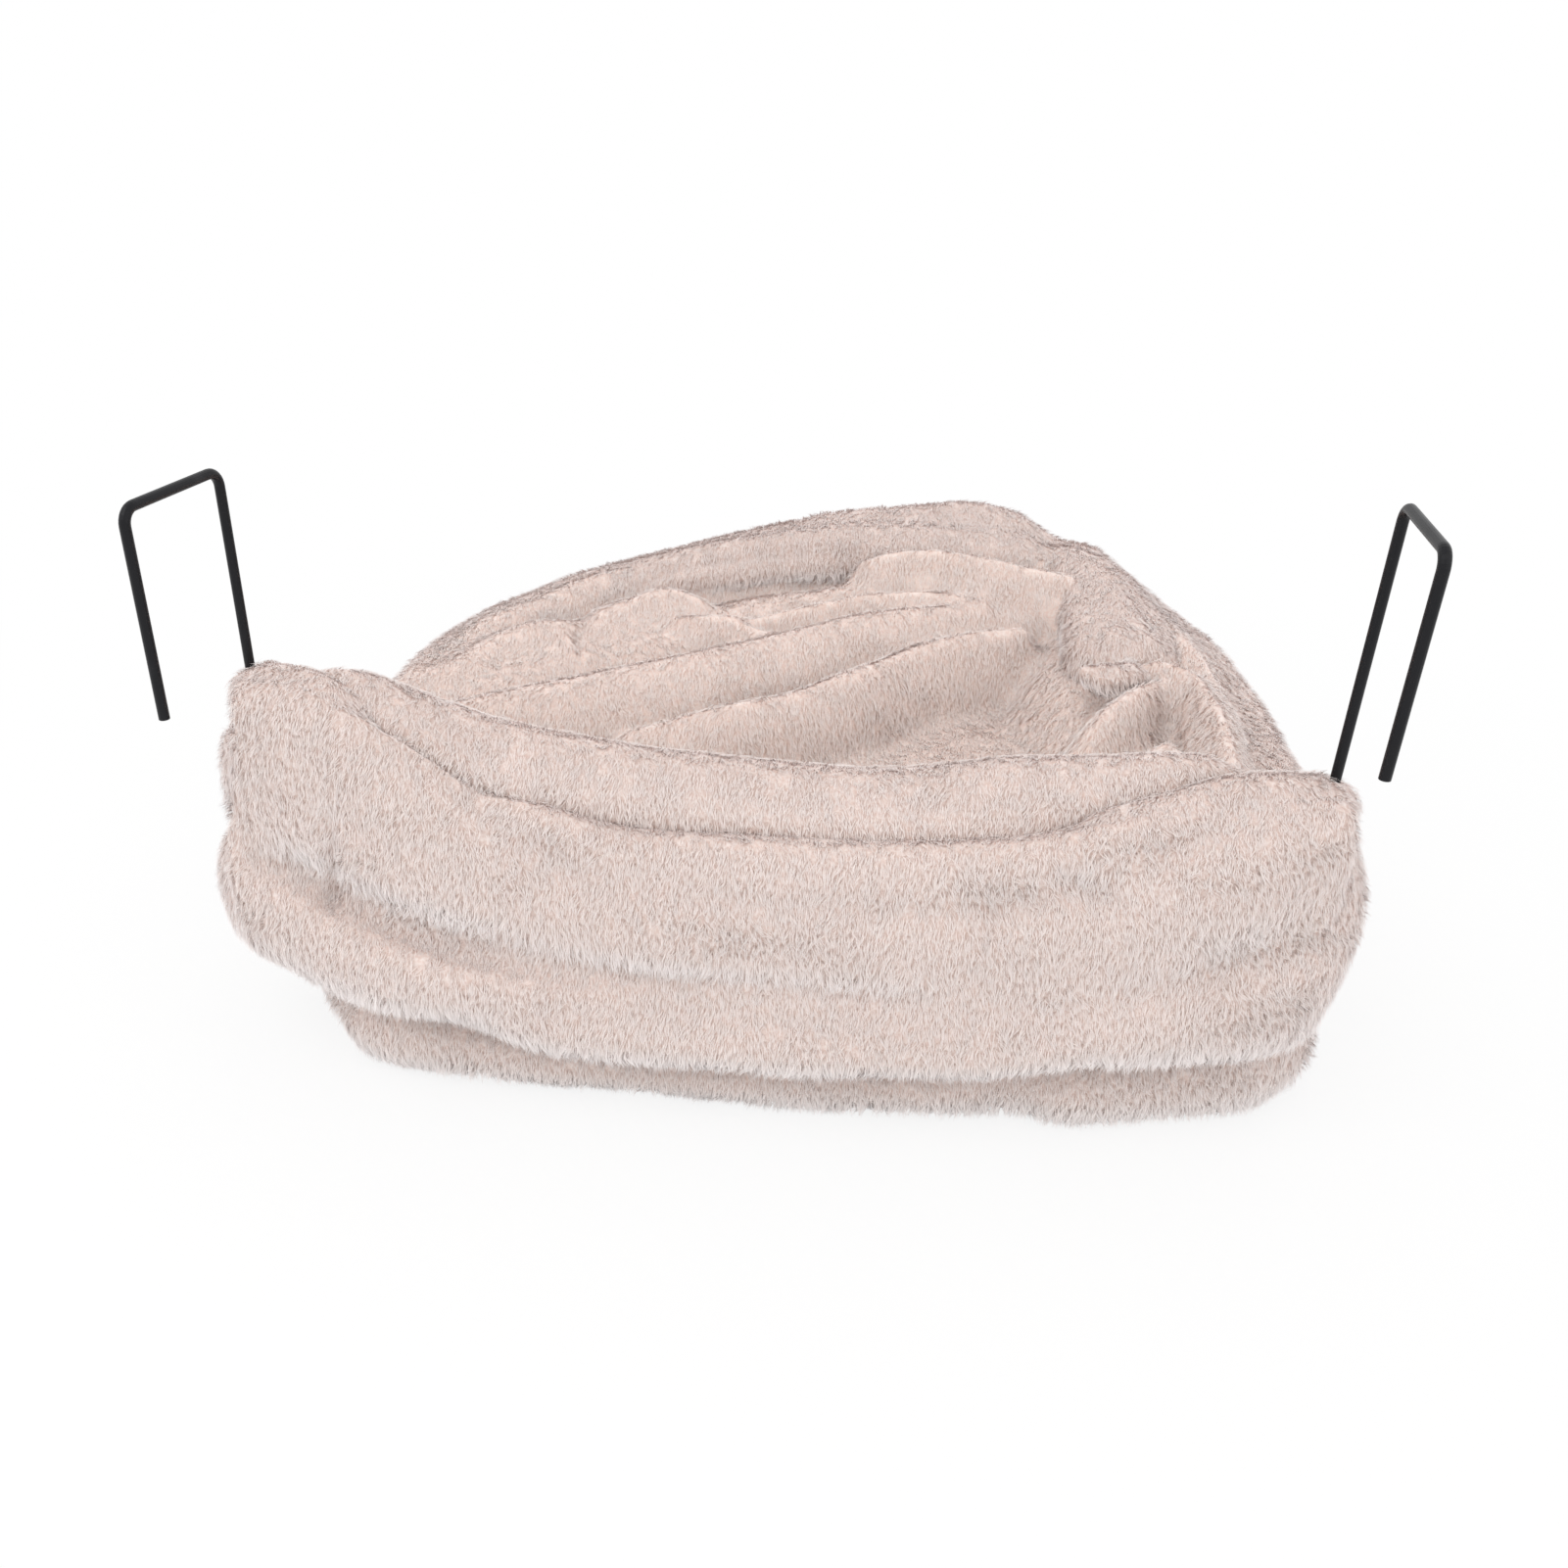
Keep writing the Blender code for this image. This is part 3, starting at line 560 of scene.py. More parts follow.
@dataclass(frozen=True)
class CoatFinish:
    """Glossy powder coat baked on steel wire."""

    name: str
    colour: Colour
    worn: Colour
    roughness: float
    specular: float = 0.18
    grain_scale: float = 900.0
    mottle_scale: float = 60.0
    worn_from: float = 0.45
    worn_to: float = 0.9
    worn_tone: float = 0.8
    glossier: float = 0.8
    duller: float = 1.3
    bump: float = 0.12
    bump_depth: float = 0.0002

    def material(self) -> bpy.types.Material:
        """Make the coat's material, with its fine orange peel and slow change of gloss.

        Returns:
            The material.
        """
        material, sheet, shader = start_material(self.name)
        grain = place_group(sheet, fine_grain_group(), {"Grain Scale": self.grain_scale,
                                                        "Mottle Scale": self.mottle_scale})
        colour = (*self.colour, 1.0)
        pale = place_group(sheet, fibre_tone_group(), {"Root": colour, "Body": colour,
                                                       "Tip": (*self.worn, 1.0), "Tone": self.worn_tone})
        worn = ranged(sheet, grain.outputs["Mottle"], self.worn_from, self.worn_to)
        sheet.join(worn, pale.inputs["Along"])
        sheet.join(pale.outputs["Colour"], shader.inputs["Base Color"])
        gloss = sheet.add("ShaderNodeMapRange")
        sheet.join(grain.outputs["Mottle"], gloss.inputs["Value"])
        gloss.inputs["To Min"].default_value = self.roughness * self.glossier
        gloss.inputs["To Max"].default_value = self.roughness * self.duller
        sheet.join(gloss.outputs["Result"], shader.inputs["Roughness"])
        shader.inputs["Specular IOR Level"].default_value = self.specular
        bump = sheet.add("ShaderNodeBump")
        bump.inputs["Strength"].default_value = self.bump
        bump.inputs["Distance"].default_value = self.bump_depth
        sheet.join(grain.outputs["Grain"], bump.inputs["Height"])
        sheet.join(bump.outputs["Normal"], shader.inputs["Normal"])
        return material


# Root colours are darker and redder than the body: painted shade deep in the pile and in the backing's
# hollows; body and tip are the plush's own colour.
BLUSH_PLUSH = PlushFinish("blush_plush", root=(0.76, 0.58, 0.51), body=(0.905, 0.795, 0.745),
                          tip=(0.95, 0.90, 0.885))
# The lining plush is paler and warmer than the outer plush: partly its own colour, partly painted light that
# lifts the shade in the sack's hollow and paints warm bounced light.
LIFTED_LINING_PLUSH = PlushFinish("lining_plush", root=(0.88, 0.68, 0.60), body=(0.96, 0.845, 0.785),
                           tip=(0.98, 0.935, 0.92))
WHITE_WADDING = PlushFinish("white_wadding", root=(0.72, 0.71, 0.69), body=(0.86, 0.86, 0.84),
                            tip=(0.94, 0.94, 0.93), clump_scale=90.0)
BLACK_COAT = CoatFinish("black_powder_coat", colour=(0.010, 0.010, 0.012), worn=(0.020, 0.020, 0.023),
                        roughness=0.32)


# Soft pieces


@dataclass(frozen=True)
class Fold:
    """A roll of cloth: rows of X, Y, crest height, half width and half height along its crest."""

    line: tuple[tuple[float, float, float, float, float], ...]
    squareness: float = 1.0
    sides: int = 24
    ring_spacing: float = 0.004
    end_taper: float = 0.25

    def mesh(self) -> bpy.types.Mesh:
        """Make the roll as a closed tube that rounds off at both ends.

        Returns:
            The tube's mesh in the row frame.
        """
        plan = np.array(self.line)[:, :2]
        length = np.linalg.norm(np.diff(plan, axis=0), axis=1).sum()
        count = max(8, round(length / self.ring_spacing))
        rows = smooth_line(self.line, count)
        across = np.gradient(rows[:, :2], axis=0)
        across = unit(np.stack([across[:, 1], -across[:, 0], np.zeros(count)], axis=1))
        share = np.linspace(0.0, 1.0, count)
        from_end = np.clip(np.minimum(share, 1 - share) / self.end_taper, 0.02, 1.0)
        taper = np.sqrt(1 - (1 - from_end) ** 2)
        angles = np.linspace(0.0, 2 * np.pi, self.sides, endpoint=False)
        centre = rows[:, :3].copy()
        centre[:, 2] -= rows[:, 4]
        centre += np.array(ORIGIN)
        wide, high = (np.sign(turn) * np.abs(turn) ** self.squareness
                      for turn in (np.cos(angles), np.sin(angles)))
        level = across[:, None, :] * (wide[None, :, None] * (rows[:, 3] * taper)[:, None, None])
        upward = np.zeros((count, self.sides, 3))
        upward[:, :, 2] = high[None, :] * (rows[:, 4] * taper)[:, None]
        return mesh_from_rings("fold", centre[:, None, :] + level + upward)


@dataclass(frozen=True)
class Billow:
    """A fold that the lining rises into: rows of X, Y, crest height and half width along its crest."""

    line: tuple[tuple[float, float, float, float], ...]
    fullness: float = 0.75
    row_count: int = 60

    def rise(self, places: np.ndarray, floor: float, inset: np.ndarray) -> np.ndarray:
        """Tell how far the cloth rises above the floor at each place.

        Args:
            places: Points in the row frame.
            floor: Height of the flat lining.
            inset: How much narrower the fold is at each point.

        Returns:
            A height above the floor for each point.
        """
        nearest = np.full(len(places), np.inf)
        height = np.zeros(len(places))
        width = np.ones(len(places))
        for row in smooth_line(self.line, self.row_count):
            gap = (places[:, 0] - row[0] - ORIGIN.x) ** 2 + (places[:, 1] - row[1] - ORIGIN.y) ** 2
            closer = gap < nearest
            nearest[closer] = gap[closer]
            height[closer] = row[2] - floor
            width[closer] = row[3]
        return height * np.clip(1 - nearest / (width - inset) ** 2, 0.0, 1.0) ** self.fullness


@dataclass(frozen=True)
class Crease:
    """A pulled-in line in the cloth, as rows of X, Y, Z and depth from the leg line's middle."""

    line: tuple[tuple[float, float, float, float], ...]
    width: float
    row_count: int = 80

    def pull(self, places: np.ndarray) -> np.ndarray:
        """Tell how far each place is pulled in.

        Args:
            places: Points in the row frame.

        Returns:
            A depth for each point.
        """
        nearest = np.full(len(places), np.inf)
        depth = np.zeros(len(places))
        for row in smooth_line(self.line, self.row_count):
            gap = ((places - row[:3] - np.array(ORIGIN)) ** 2).sum(axis=1)
            closer = gap < nearest
            nearest[closer] = gap[closer]
            depth[closer] = row[3]
        return depth * np.exp(-nearest / self.width ** 2)


@dataclass
class SoftPiece:
    """One plush piece of the sack, formed from its solids and rounded as cloth and filling are."""

    name: str
    nodes: tuple[str, ...]
    slot: str = "plush"
    finish: PlushFinish = BLUSH_PLUSH
    folds: tuple[Fold, ...] = ()
    creases: tuple[Crease, ...] = ()
    declared: Declared = Declared.PADDED
    fill: float = 0.3
    flat: tuple[float, float] = (0.0, 0.0)
    held: str = "gathered"
    voxel: float = 0.0028
    first_smoothing: int = 8
    last_smoothing: int = 4
    inset: float = 0.003
    touching: float = 0.0015
    free: float = 0.009
    swell: float = 0.0018
    swell_scale: float = 0.045
    lowest: float = 0.0004
    has_pile: bool = True
    filling: Filling | None = None

    def base_form(self) -> bpy.types.Mesh:
        """Return the piece's solids as one mesh."""
        return joined(self.name, [frame["nodes"][node].data for node in self.nodes])

    def form(self) -> bpy.types.Mesh:
        """Shape the piece from its solids and folds.

        Returns:
            The rounded mesh in the row frame.
        """
        solid = softened(self.base_form(), self.voxel, self.first_smoothing)
        if self.folds:
            meshes = [solid] + [fold.mesh() for fold in self.folds]
            solid = softened(joined(self.name, meshes), self.voxel, self.last_smoothing)
        if self.filling:
            solid = self.filling.swelled(solid)
        return solid

    def exposure(self, places: np.ndarray) -> np.ndarray:
        """Tell how free each place is of the neighbouring cloth, from zero where they touch to one.

        Args:
            places: Points in the row frame.

        Returns:
            A share for each point.
        """
        names = [node for node in SOFT_NODES if node not in self.nodes]
        others = joined("neighbours", [frame["nodes"][node].data for node in names])
        tree = surface_tree(others)
        bpy.data.meshes.remove(others)
        gaps = np.array([tree.find_nearest(place)[3] for place in places.tolist()])
        share = np.clip((gaps - self.touching) / (self.free - self.touching), 0.0, 1.0)
        return share * share * (3 - 2 * share)

    def settle(self, mesh: bpy.types.Mesh) -> None:
        """Draw the free cloth in under the pile, pull its creases in and let it swell unevenly.

        Args:
            mesh: The piece's mesh, which is changed.
        """
        places = read_places(mesh)
        normals = read_normals(mesh)
        depth = self.inset - self.swell * noise_field(places, self.swell_scale)
        depth *= self.exposure(places)
        for crease in self.creases:
            depth += crease.pull(places)
        settled = places - normals * depth[:, None]
        settled[:, 2] = np.maximum(settled[:, 2], self.lowest)
        mesh.vertices.foreach_set("co", settled.ravel())
        mesh.update()

    def build(self) -> bpy.types.Object:
        """Build the cloth of the piece, hang it on the sack's body and hide its solids.

        Returns:
            The finished object, without its pile.
        """
        mesh = self.form()
        self.settle(mesh)
        mesh.name = self.name
        mesh.shade_smooth()
        mesh.materials.clear()
        mesh.materials.append(self.finish.backing())
        piece = add_object(self.name, mesh)
        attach(piece, SACK)
        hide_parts(*self.nodes)
        LOG.info("%s: %d faces", self.name, len(mesh.polygons))
        return piece

    def declare(self, piece: bpy.types.Object, pile: list[bpy.types.Object]) -> None:
        """Args:
            piece: The cloth, not used.
            pile: The pieces of its pile, not used.
        """


@dataclass
class BackPanel(SoftPiece):
    """Outer panel of the radiator side, fallen into two stacked rolls."""

    name: str = "back_panel_plush"
    nodes: tuple[str, ...] = ("back_panel",)
    folds: tuple[Fold, ...] = (
        Fold(((-0.221, -0.002, 0.181, 0.012, 0.013), (-0.200, -0.002, 0.184, 0.013, 0.014),
              (-0.175, -0.007, 0.180, 0.013, 0.014), (-0.150, -0.013, 0.162, 0.009, 0.012))),
        Fold(((0.112, -0.021, 0.142, 0.007, 0.010), (0.138, -0.018, 0.149, 0.009, 0.012),
              (0.162, -0.013, 0.155, 0.010, 0.013), (0.184, -0.007, 0.159, 0.011, 0.013),
              (0.202, -0.003, 0.158, 0.012, 0.012), (0.222, -0.002, 0.154, 0.011, 0.012)), end_taper=0.15),
        Fold(((-0.223, 0.056, 0.098, 0.010, 0.020), (-0.229, 0.030, 0.102, 0.014, 0.026),
              (-0.230, 0.006, 0.105, 0.016, 0.029), (-0.214, -0.013, 0.105, 0.017, 0.029),
              (-0.180, -0.026, 0.098, 0.018, 0.027), (-0.150, -0.034, 0.089, 0.018, 0.024),
              (-0.115, -0.038, 0.079, 0.015, 0.020), (-0.070, -0.038, 0.073, 0.013, 0.019),
              (-0.010, -0.030, 0.070, 0.012, 0.018)), end_taper=0.08),
        Fold(((-0.226, 0.016, 0.160, 0.010, 0.026), (-0.222, -0.003, 0.156, 0.012, 0.026),
              (-0.200, -0.014, 0.150, 0.013, 0.024), (-0.165, -0.023, 0.138, 0.014, 0.023),
              (-0.120, -0.029, 0.121, 0.013, 0.021), (-0.070, -0.030, 0.110, 0.011, 0.018),
              (-0.020, -0.026, 0.106, 0.010, 0.016)), end_taper=0.15),
        Fold(((-0.165, -0.036, 0.080, 0.009, 0.018), (-0.130, -0.038, 0.070, 0.012, 0.016),
              (-0.090, -0.040, 0.061, 0.013, 0.0145),
              (-0.050, -0.041, 0.056, 0.013, 0.0135), (0.010, -0.042, 0.056, 0.013, 0.013),
              (0.055, -0.041, 0.057, 0.013, 0.013), (0.090, -0.038, 0.060, 0.013, 0.0135),
              (0.130, -0.036, 0.068, 0.013, 0.0145), (0.170, -0.028, 0.078, 0.013, 0.018))),
        Fold(((-0.128, -0.022, 0.151, 0.006, 0.010), (-0.100, -0.024, 0.143, 0.008, 0.014),
              (-0.064, -0.025, 0.131, 0.0115, 0.018), (-0.012, -0.0255, 0.130, 0.0125, 0.020),
              (0.044, -0.0255, 0.131, 0.0125, 0.020), (0.103, -0.0255, 0.138, 0.0115, 0.018),
              (0.134, -0.025, 0.147, 0.010, 0.016), (0.160, -0.020, 0.153, 0.008, 0.012),
              (0.184, -0.013, 0.155, 0.007, 0.010)), end_taper=0.18),
        Fold(((0.120, -0.036, 0.071, 0.012, 0.017), (0.160, -0.032, 0.081, 0.015, 0.021),
              (0.192, -0.023, 0.095, 0.017, 0.028), (0.213, -0.010, 0.112, 0.018, 0.036),
              (0.221, 0.006, 0.128, 0.018, 0.040), (0.221, 0.030, 0.132, 0.015, 0.037),
              (0.214, 0.060, 0.126, 0.010, 0.030)), end_taper=0.12),
    )
    creases: tuple[Crease, ...] = (
        Crease(((-0.236, 0.004, 0.108, 0.003), (-0.224, -0.016, 0.106, 0.004),
                (-0.195, -0.030, 0.101, 0.005), (-0.173, -0.036, 0.094, 0.006),
                (-0.154, -0.040, 0.087, 0.006), (-0.122, -0.043, 0.078, 0.005),
                (-0.086, -0.044, 0.073, 0.004), (-0.030, -0.044, 0.071, 0.003),
                (0.060, -0.044, 0.070, 0.002)), 0.0060),
        Crease(((-0.174, -0.036, 0.138, 0.001), (-0.176, -0.036, 0.122, 0.005),
                (-0.179, -0.034, 0.104, 0.006), (-0.180, -0.034, 0.088, 0.004)), 0.0050),
        Crease(((0.084, -0.024, 0.120, 0.001), (0.086, -0.042, 0.103, 0.003), (0.088, -0.048, 0.086, 0.003),
                (0.088, -0.046, 0.070, 0.001)), 0.0045),
        Crease(((0.113, -0.034, 0.122, 0.003), (0.122, -0.038, 0.119, 0.004), (0.130, -0.040, 0.115, 0.003)),
               0.0060),
    )
    fill: float = 0.25
    last_smoothing: int = 8


@dataclass
class NearRim(SoftPiece):
    """Rolled rim over the bar on the radiator side."""

    name: str = "near_rim_plush"
    nodes: tuple[str, ...] = ("back_rim_tunnel",)
    folds: tuple[Fold, ...] = (
        Fold(((-0.200, 0.003, 0.184, 0.010, 0.010), (-0.174, 0.002, 0.183, 0.014, 0.014),
              (-0.150, 0.002, 0.175, 0.017, 0.018), (-0.113, 0.002, 0.164, 0.018, 0.021),
              (-0.077, 0.001, 0.157, 0.019, 0.022), (-0.021, 0.001, 0.152, 0.020, 0.023),
              (0.035, 0.001, 0.150, 0.020, 0.023), (0.092, 0.001, 0.156, 0.020, 0.023),
              (0.121, 0.001, 0.159, 0.018, 0.019), (0.143, 0.002, 0.161, 0.015, 0.016),
              (0.168, 0.003, 0.162, 0.012, 0.013), (0.190, 0.003, 0.159, 0.009, 0.010)), end_taper=0.08),
    )
    fill: float = 0.5
    last_smoothing: int = 8
    filling: Filling = Filling()


@dataclass
class HoopRim(SoftPiece):
    """Rolled rim over the hoop wire, round the sides and front, with the broad flap that falls in."""

    name: str = "hoop_rim_plush"
    nodes: tuple[str, ...] = ("front_rim_tunnel",)
    folds: tuple[Fold, ...] = (
        Fold(((-0.192, 0.020, 0.130, 0.015, 0.014), (-0.192, 0.045, 0.131, 0.015, 0.014),
              (-0.190, 0.070, 0.132, 0.014, 0.014)), end_taper=0.2),
        Fold(((-0.190, 0.040, 0.130, 0.018, 0.013), (-0.182, 0.100, 0.132, 0.020, 0.014),
              (-0.156, 0.172, 0.139, 0.022, 0.016), (-0.112, 0.222, 0.149, 0.022, 0.017),
              (-0.070, 0.240, 0.159, 0.022, 0.018), (-0.030, 0.249, 0.169, 0.022, 0.018),
              (0.020, 0.254, 0.177, 0.023, 0.019), (0.070, 0.248, 0.181, 0.024, 0.019),
              (0.118, 0.234, 0.179, 0.022, 0.018), (0.150, 0.214, 0.173, 0.018, 0.016))),
        Fold(((0.150, 0.246, 0.177, 0.013, 0.014), (0.155, 0.206, 0.172, 0.021, 0.016),
              (0.158, 0.172, 0.166, 0.026, 0.017), (0.160, 0.146, 0.160, 0.030, 0.017),
              (0.158, 0.124, 0.155, 0.030, 0.016)), squareness=0.8, end_taper=0.14),
        Fold(((0.030, 0.258, 0.180, 0.012, 0.012), (0.060, 0.262, 0.185, 0.014, 0.014),
              (0.092, 0.260, 0.188, 0.015, 0.015), (0.118, 0.254, 0.186, 0.015, 0.015),
              (0.142, 0.244, 0.177, 0.013, 0.013))),
        Fold(((0.126, 0.107, 0.156, 0.007, 0.007), (0.134, 0.105, 0.158, 0.009, 0.009),
              (0.148, 0.106, 0.158, 0.010, 0.009), (0.166, 0.112, 0.155, 0.008, 0.008)), end_taper=0.15),
        Fold(((0.194, 0.026, 0.134, 0.012, 0.016), (0.195, 0.090, 0.140, 0.013, 0.018),
              (0.190, 0.150, 0.148, 0.016, 0.018), (0.176, 0.200, 0.160, 0.016, 0.018))),
    )
    fill: float = 0.45
    filling: Filling = Filling(most_swell=0.0025)


@dataclass
class FrontWall(SoftPiece):
    """Outer wall under the hoop's rim, crumpled down onto the base."""

    name: str = "front_wall_plush"
    nodes: tuple[str, ...] = ("front_wall",)
    inset: float = 0.002
    fill: float = 0.2


@dataclass
class Lining(SoftPiece):
    """Inner plush of the sack, fallen into folds inside the rim."""

    name: str = "lining_plush"
    nodes: tuple[str, ...] = ("lining",)
    slot: str = "lining_plush"
    finish: PlushFinish = LIFTED_LINING_PLUSH
    billows: tuple[Billow, ...] = (
        Billow(((-0.170, 0.100, 0.134, 0.050), (-0.100, 0.150, 0.141, 0.055), (-0.030, 0.190, 0.147, 0.050),
                (0.040, 0.215, 0.152, 0.036), (0.080, 0.218, 0.155, 0.026)), 1.3),
        Billow(((-0.190, 0.030, 0.130, 0.026), (-0.188, 0.080, 0.134, 0.028), (-0.170, 0.140, 0.140, 0.030),
                (-0.140, 0.190, 0.146, 0.030), (-0.100, 0.222, 0.153, 0.028), (-0.050, 0.240, 0.159, 0.028),
                (0.010, 0.250, 0.166, 0.030), (0.070, 0.248, 0.171, 0.030), (0.120, 0.226, 0.170, 0.026),
                (0.150, 0.206, 0.167, 0.022)), 0.9),
        Billow(((0.180, 0.180, 0.160, 0.026), (0.196, 0.120, 0.150, 0.024), (0.198, 0.060, 0.144, 0.022),
                (0.196, 0.018, 0.138, 0.020)), 0.9),
        Billow(((-0.184, 0.056, 0.132, 0.020), (-0.160, 0.060, 0.138, 0.024), (-0.119, 0.077, 0.143, 0.028),
                (-0.058, 0.110, 0.147, 0.029), (-0.003, 0.140, 0.151, 0.027), (0.037, 0.162, 0.154, 0.025),
                (0.074, 0.177, 0.155, 0.021), (0.100, 0.183, 0.152, 0.015), (0.127, 0.184, 0.146, 0.010))),
        Billow(((-0.066, 0.064, 0.131, 0.015), (-0.022, 0.079, 0.140, 0.018), (0.005, 0.091, 0.142, 0.019),
                (0.034, 0.115, 0.144, 0.019), (0.061, 0.143, 0.145, 0.018), (0.090, 0.160, 0.148, 0.016),
                (0.118, 0.169, 0.149, 0.012))),
        Billow(((-0.030, 0.166, 0.148, 0.012), (0.015, 0.179, 0.154, 0.015), (0.046, 0.191, 0.157, 0.016),
                (0.071, 0.193, 0.158, 0.016), (0.098, 0.186, 0.156, 0.014))),
        Billow(((0.036, 0.224, 0.163, 0.015), (0.048, 0.220, 0.169, 0.017), (0.068, 0.216, 0.173, 0.018),
                (0.098, 0.203, 0.174, 0.018), (0.142, 0.190, 0.170, 0.016))),
        Billow(((-0.168, 0.104, 0.137, 0.018), (-0.143, 0.140, 0.146, 0.023), (-0.122, 0.150, 0.149, 0.021),
                (-0.106, 0.134, 0.144, 0.016))),
        Billow(((-0.118, 0.146, 0.146, 0.020), (-0.090, 0.170, 0.154, 0.026), (-0.062, 0.184, 0.157, 0.020),
                (-0.050, 0.186, 0.153, 0.014))),
        Billow(((-0.060, 0.166, 0.147, 0.013), (-0.036, 0.164, 0.151, 0.015),
                (-0.012, 0.152, 0.149, 0.013))),
        Billow(((0.152, 0.205, 0.152, 0.034), (0.144, 0.165, 0.143, 0.036), (0.142, 0.130, 0.135, 0.032),
                (0.146, 0.100, 0.128, 0.030)), 1.2),
        Billow(((0.160, 0.084, 0.128, 0.030), (0.164, 0.040, 0.126, 0.028)), 1.0),
        Billow(((-0.130, 0.034, 0.132, 0.034), (-0.060, 0.034, 0.130, 0.034), (0.060, 0.036, 0.127, 0.034),
                (0.130, 0.036, 0.127, 0.034)), 1.2),
        Billow(((0.160, 0.116, 0.150, 0.010), (0.171, 0.118, 0.154, 0.012), (0.182, 0.109, 0.155, 0.013),
                (0.187, 0.083, 0.153, 0.013), (0.186, 0.050, 0.150, 0.013),
                (0.182, 0.018, 0.146, 0.013)), 0.6),
        Billow(((0.172, 0.106, 0.149, 0.010), (0.158, 0.091, 0.152, 0.014), (0.146, 0.079, 0.149, 0.016),
                (0.137, 0.069, 0.142, 0.015), (0.128, 0.060, 0.130, 0.012)), 0.6),
        Billow(((0.150, 0.034, 0.136, 0.009), (0.163, 0.051, 0.143, 0.010),
                (0.174, 0.042, 0.138, 0.009)), 0.6),
    )
    creases: tuple[Crease, ...] = (
        Crease(((-0.108, 0.162, 0.149, 0.002), (-0.105, 0.142, 0.145, 0.004),
                (-0.101, 0.118, 0.138, 0.003)), 0.0050),
        Crease(((-0.082, 0.176, 0.150, 0.002), (-0.068, 0.164, 0.146, 0.003),
                (-0.056, 0.156, 0.144, 0.002)), 0.0095),
        Crease(((-0.040, 0.224, 0.157, 0.002), (-0.020, 0.220, 0.155, 0.004),
                (0.008, 0.216, 0.155, 0.003)), 0.0080),
    )
    declared: Declared = Declared.SHEET
    flat: tuple[float, float] = (0.44, 0.28)
    voxel: float = 0.0025
    first_smoothing: int = 6
    last_smoothing: int = 5
    floor: float = 0.108
    thickness: float = 0.012
    passage: float = 0.011
    flank: float = 0.005

    def base_form(self) -> bpy.types.Mesh:
        """Return the lining's solid laid flat, for the folds that rise from it."""
        mesh = super().base_form()
        places = read_places(mesh)
        _, column = np.unique(np.round(places[:, :2], 5), axis=0, return_inverse=True)
        column = column.ravel()
        top = np.zeros(column.max() + 1)
        np.maximum.at(top, column, places[:, 2])
        upper = places[:, 2] > top[column] - self.thickness / 2
        places[:, 2] = np.where(upper, self.floor, self.floor - self.thickness)
        mesh.vertices.foreach_set("co", places.ravel())
        mesh.update()
        return mesh

    def form(self) -> bpy.types.Mesh:
        """Lift the flat lining into its folds, which run softly into each other.

        Returns:
            The folded cloth in the row frame.
        """
        cloth = super().form()
        places = read_places(cloth)
        inset = np.where(places[:, 2] < self.floor - self.thickness / 2, self.flank, 0.0)
        height = np.zeros(len(places))
        for billow in self.billows:
            height = blended(height, billow.rise(places, self.floor, inset), self.passage)
        places[:, 2] += height
        cloth.vertices.foreach_set("co", places.ravel())
        cloth.update()
        return softened(cloth, self.voxel, self.last_smoothing)


@dataclass
class Base(SoftPiece):
    """Padded base, whose thick edge is the lowest roll."""

    name: str = "base_plush"
    nodes: tuple[str, ...] = ("base_panel",)
    folds: tuple[Fold, ...] = (
        Fold(((0.100, -0.024, 0.032, 0.018, 0.016), (0.150, -0.014, 0.038, 0.018, 0.019),
              (0.192, -0.006, 0.046, 0.018, 0.023), (0.214, 0.006, 0.052, 0.018, 0.026),
              (0.219, 0.030, 0.053, 0.018, 0.027), (0.217, 0.070, 0.050, 0.015, 0.025),
              (0.214, 0.120, 0.044, 0.010, 0.021)), end_taper=0.12),
    )
    creases: tuple[Crease, ...] = (
        Crease(((-0.216, 0.020, 0.014, 0.010), (-0.208, -0.006, 0.014, 0.014),
                (-0.196, -0.022, 0.012, 0.008), (-0.184, -0.030, 0.010, 0.002)), 0.014),
    )
    inset: float = 0.0
    fill: float = 0.6
    last_smoothing: int = 8
    filling: Filling = Filling(most_swell=0.003)


@dataclass
class Wadding(SoftPiece):
    """Wadding pad that lies on the base, under the lining."""

    name: str = "base_wadding_pad"
    nodes: tuple[str, ...] = ("base_wadding",)
    slot: str = "wadding"
    finish: PlushFinish = WHITE_WADDING
    inset: float = 0.0005
    swell: float = 0.0006
    first_smoothing: int = 5
    fill: float = 0.7
    has_pile: bool = False


@dataclass
class CornerSleeve(SoftPiece):
    """Plush sleeve at a corner, round the hook leg's socket."""

    voxel: float = 0.0016
    inset: float = 0.001
    swell: float = 0.0006
    fill: float = 0.35


# Pile


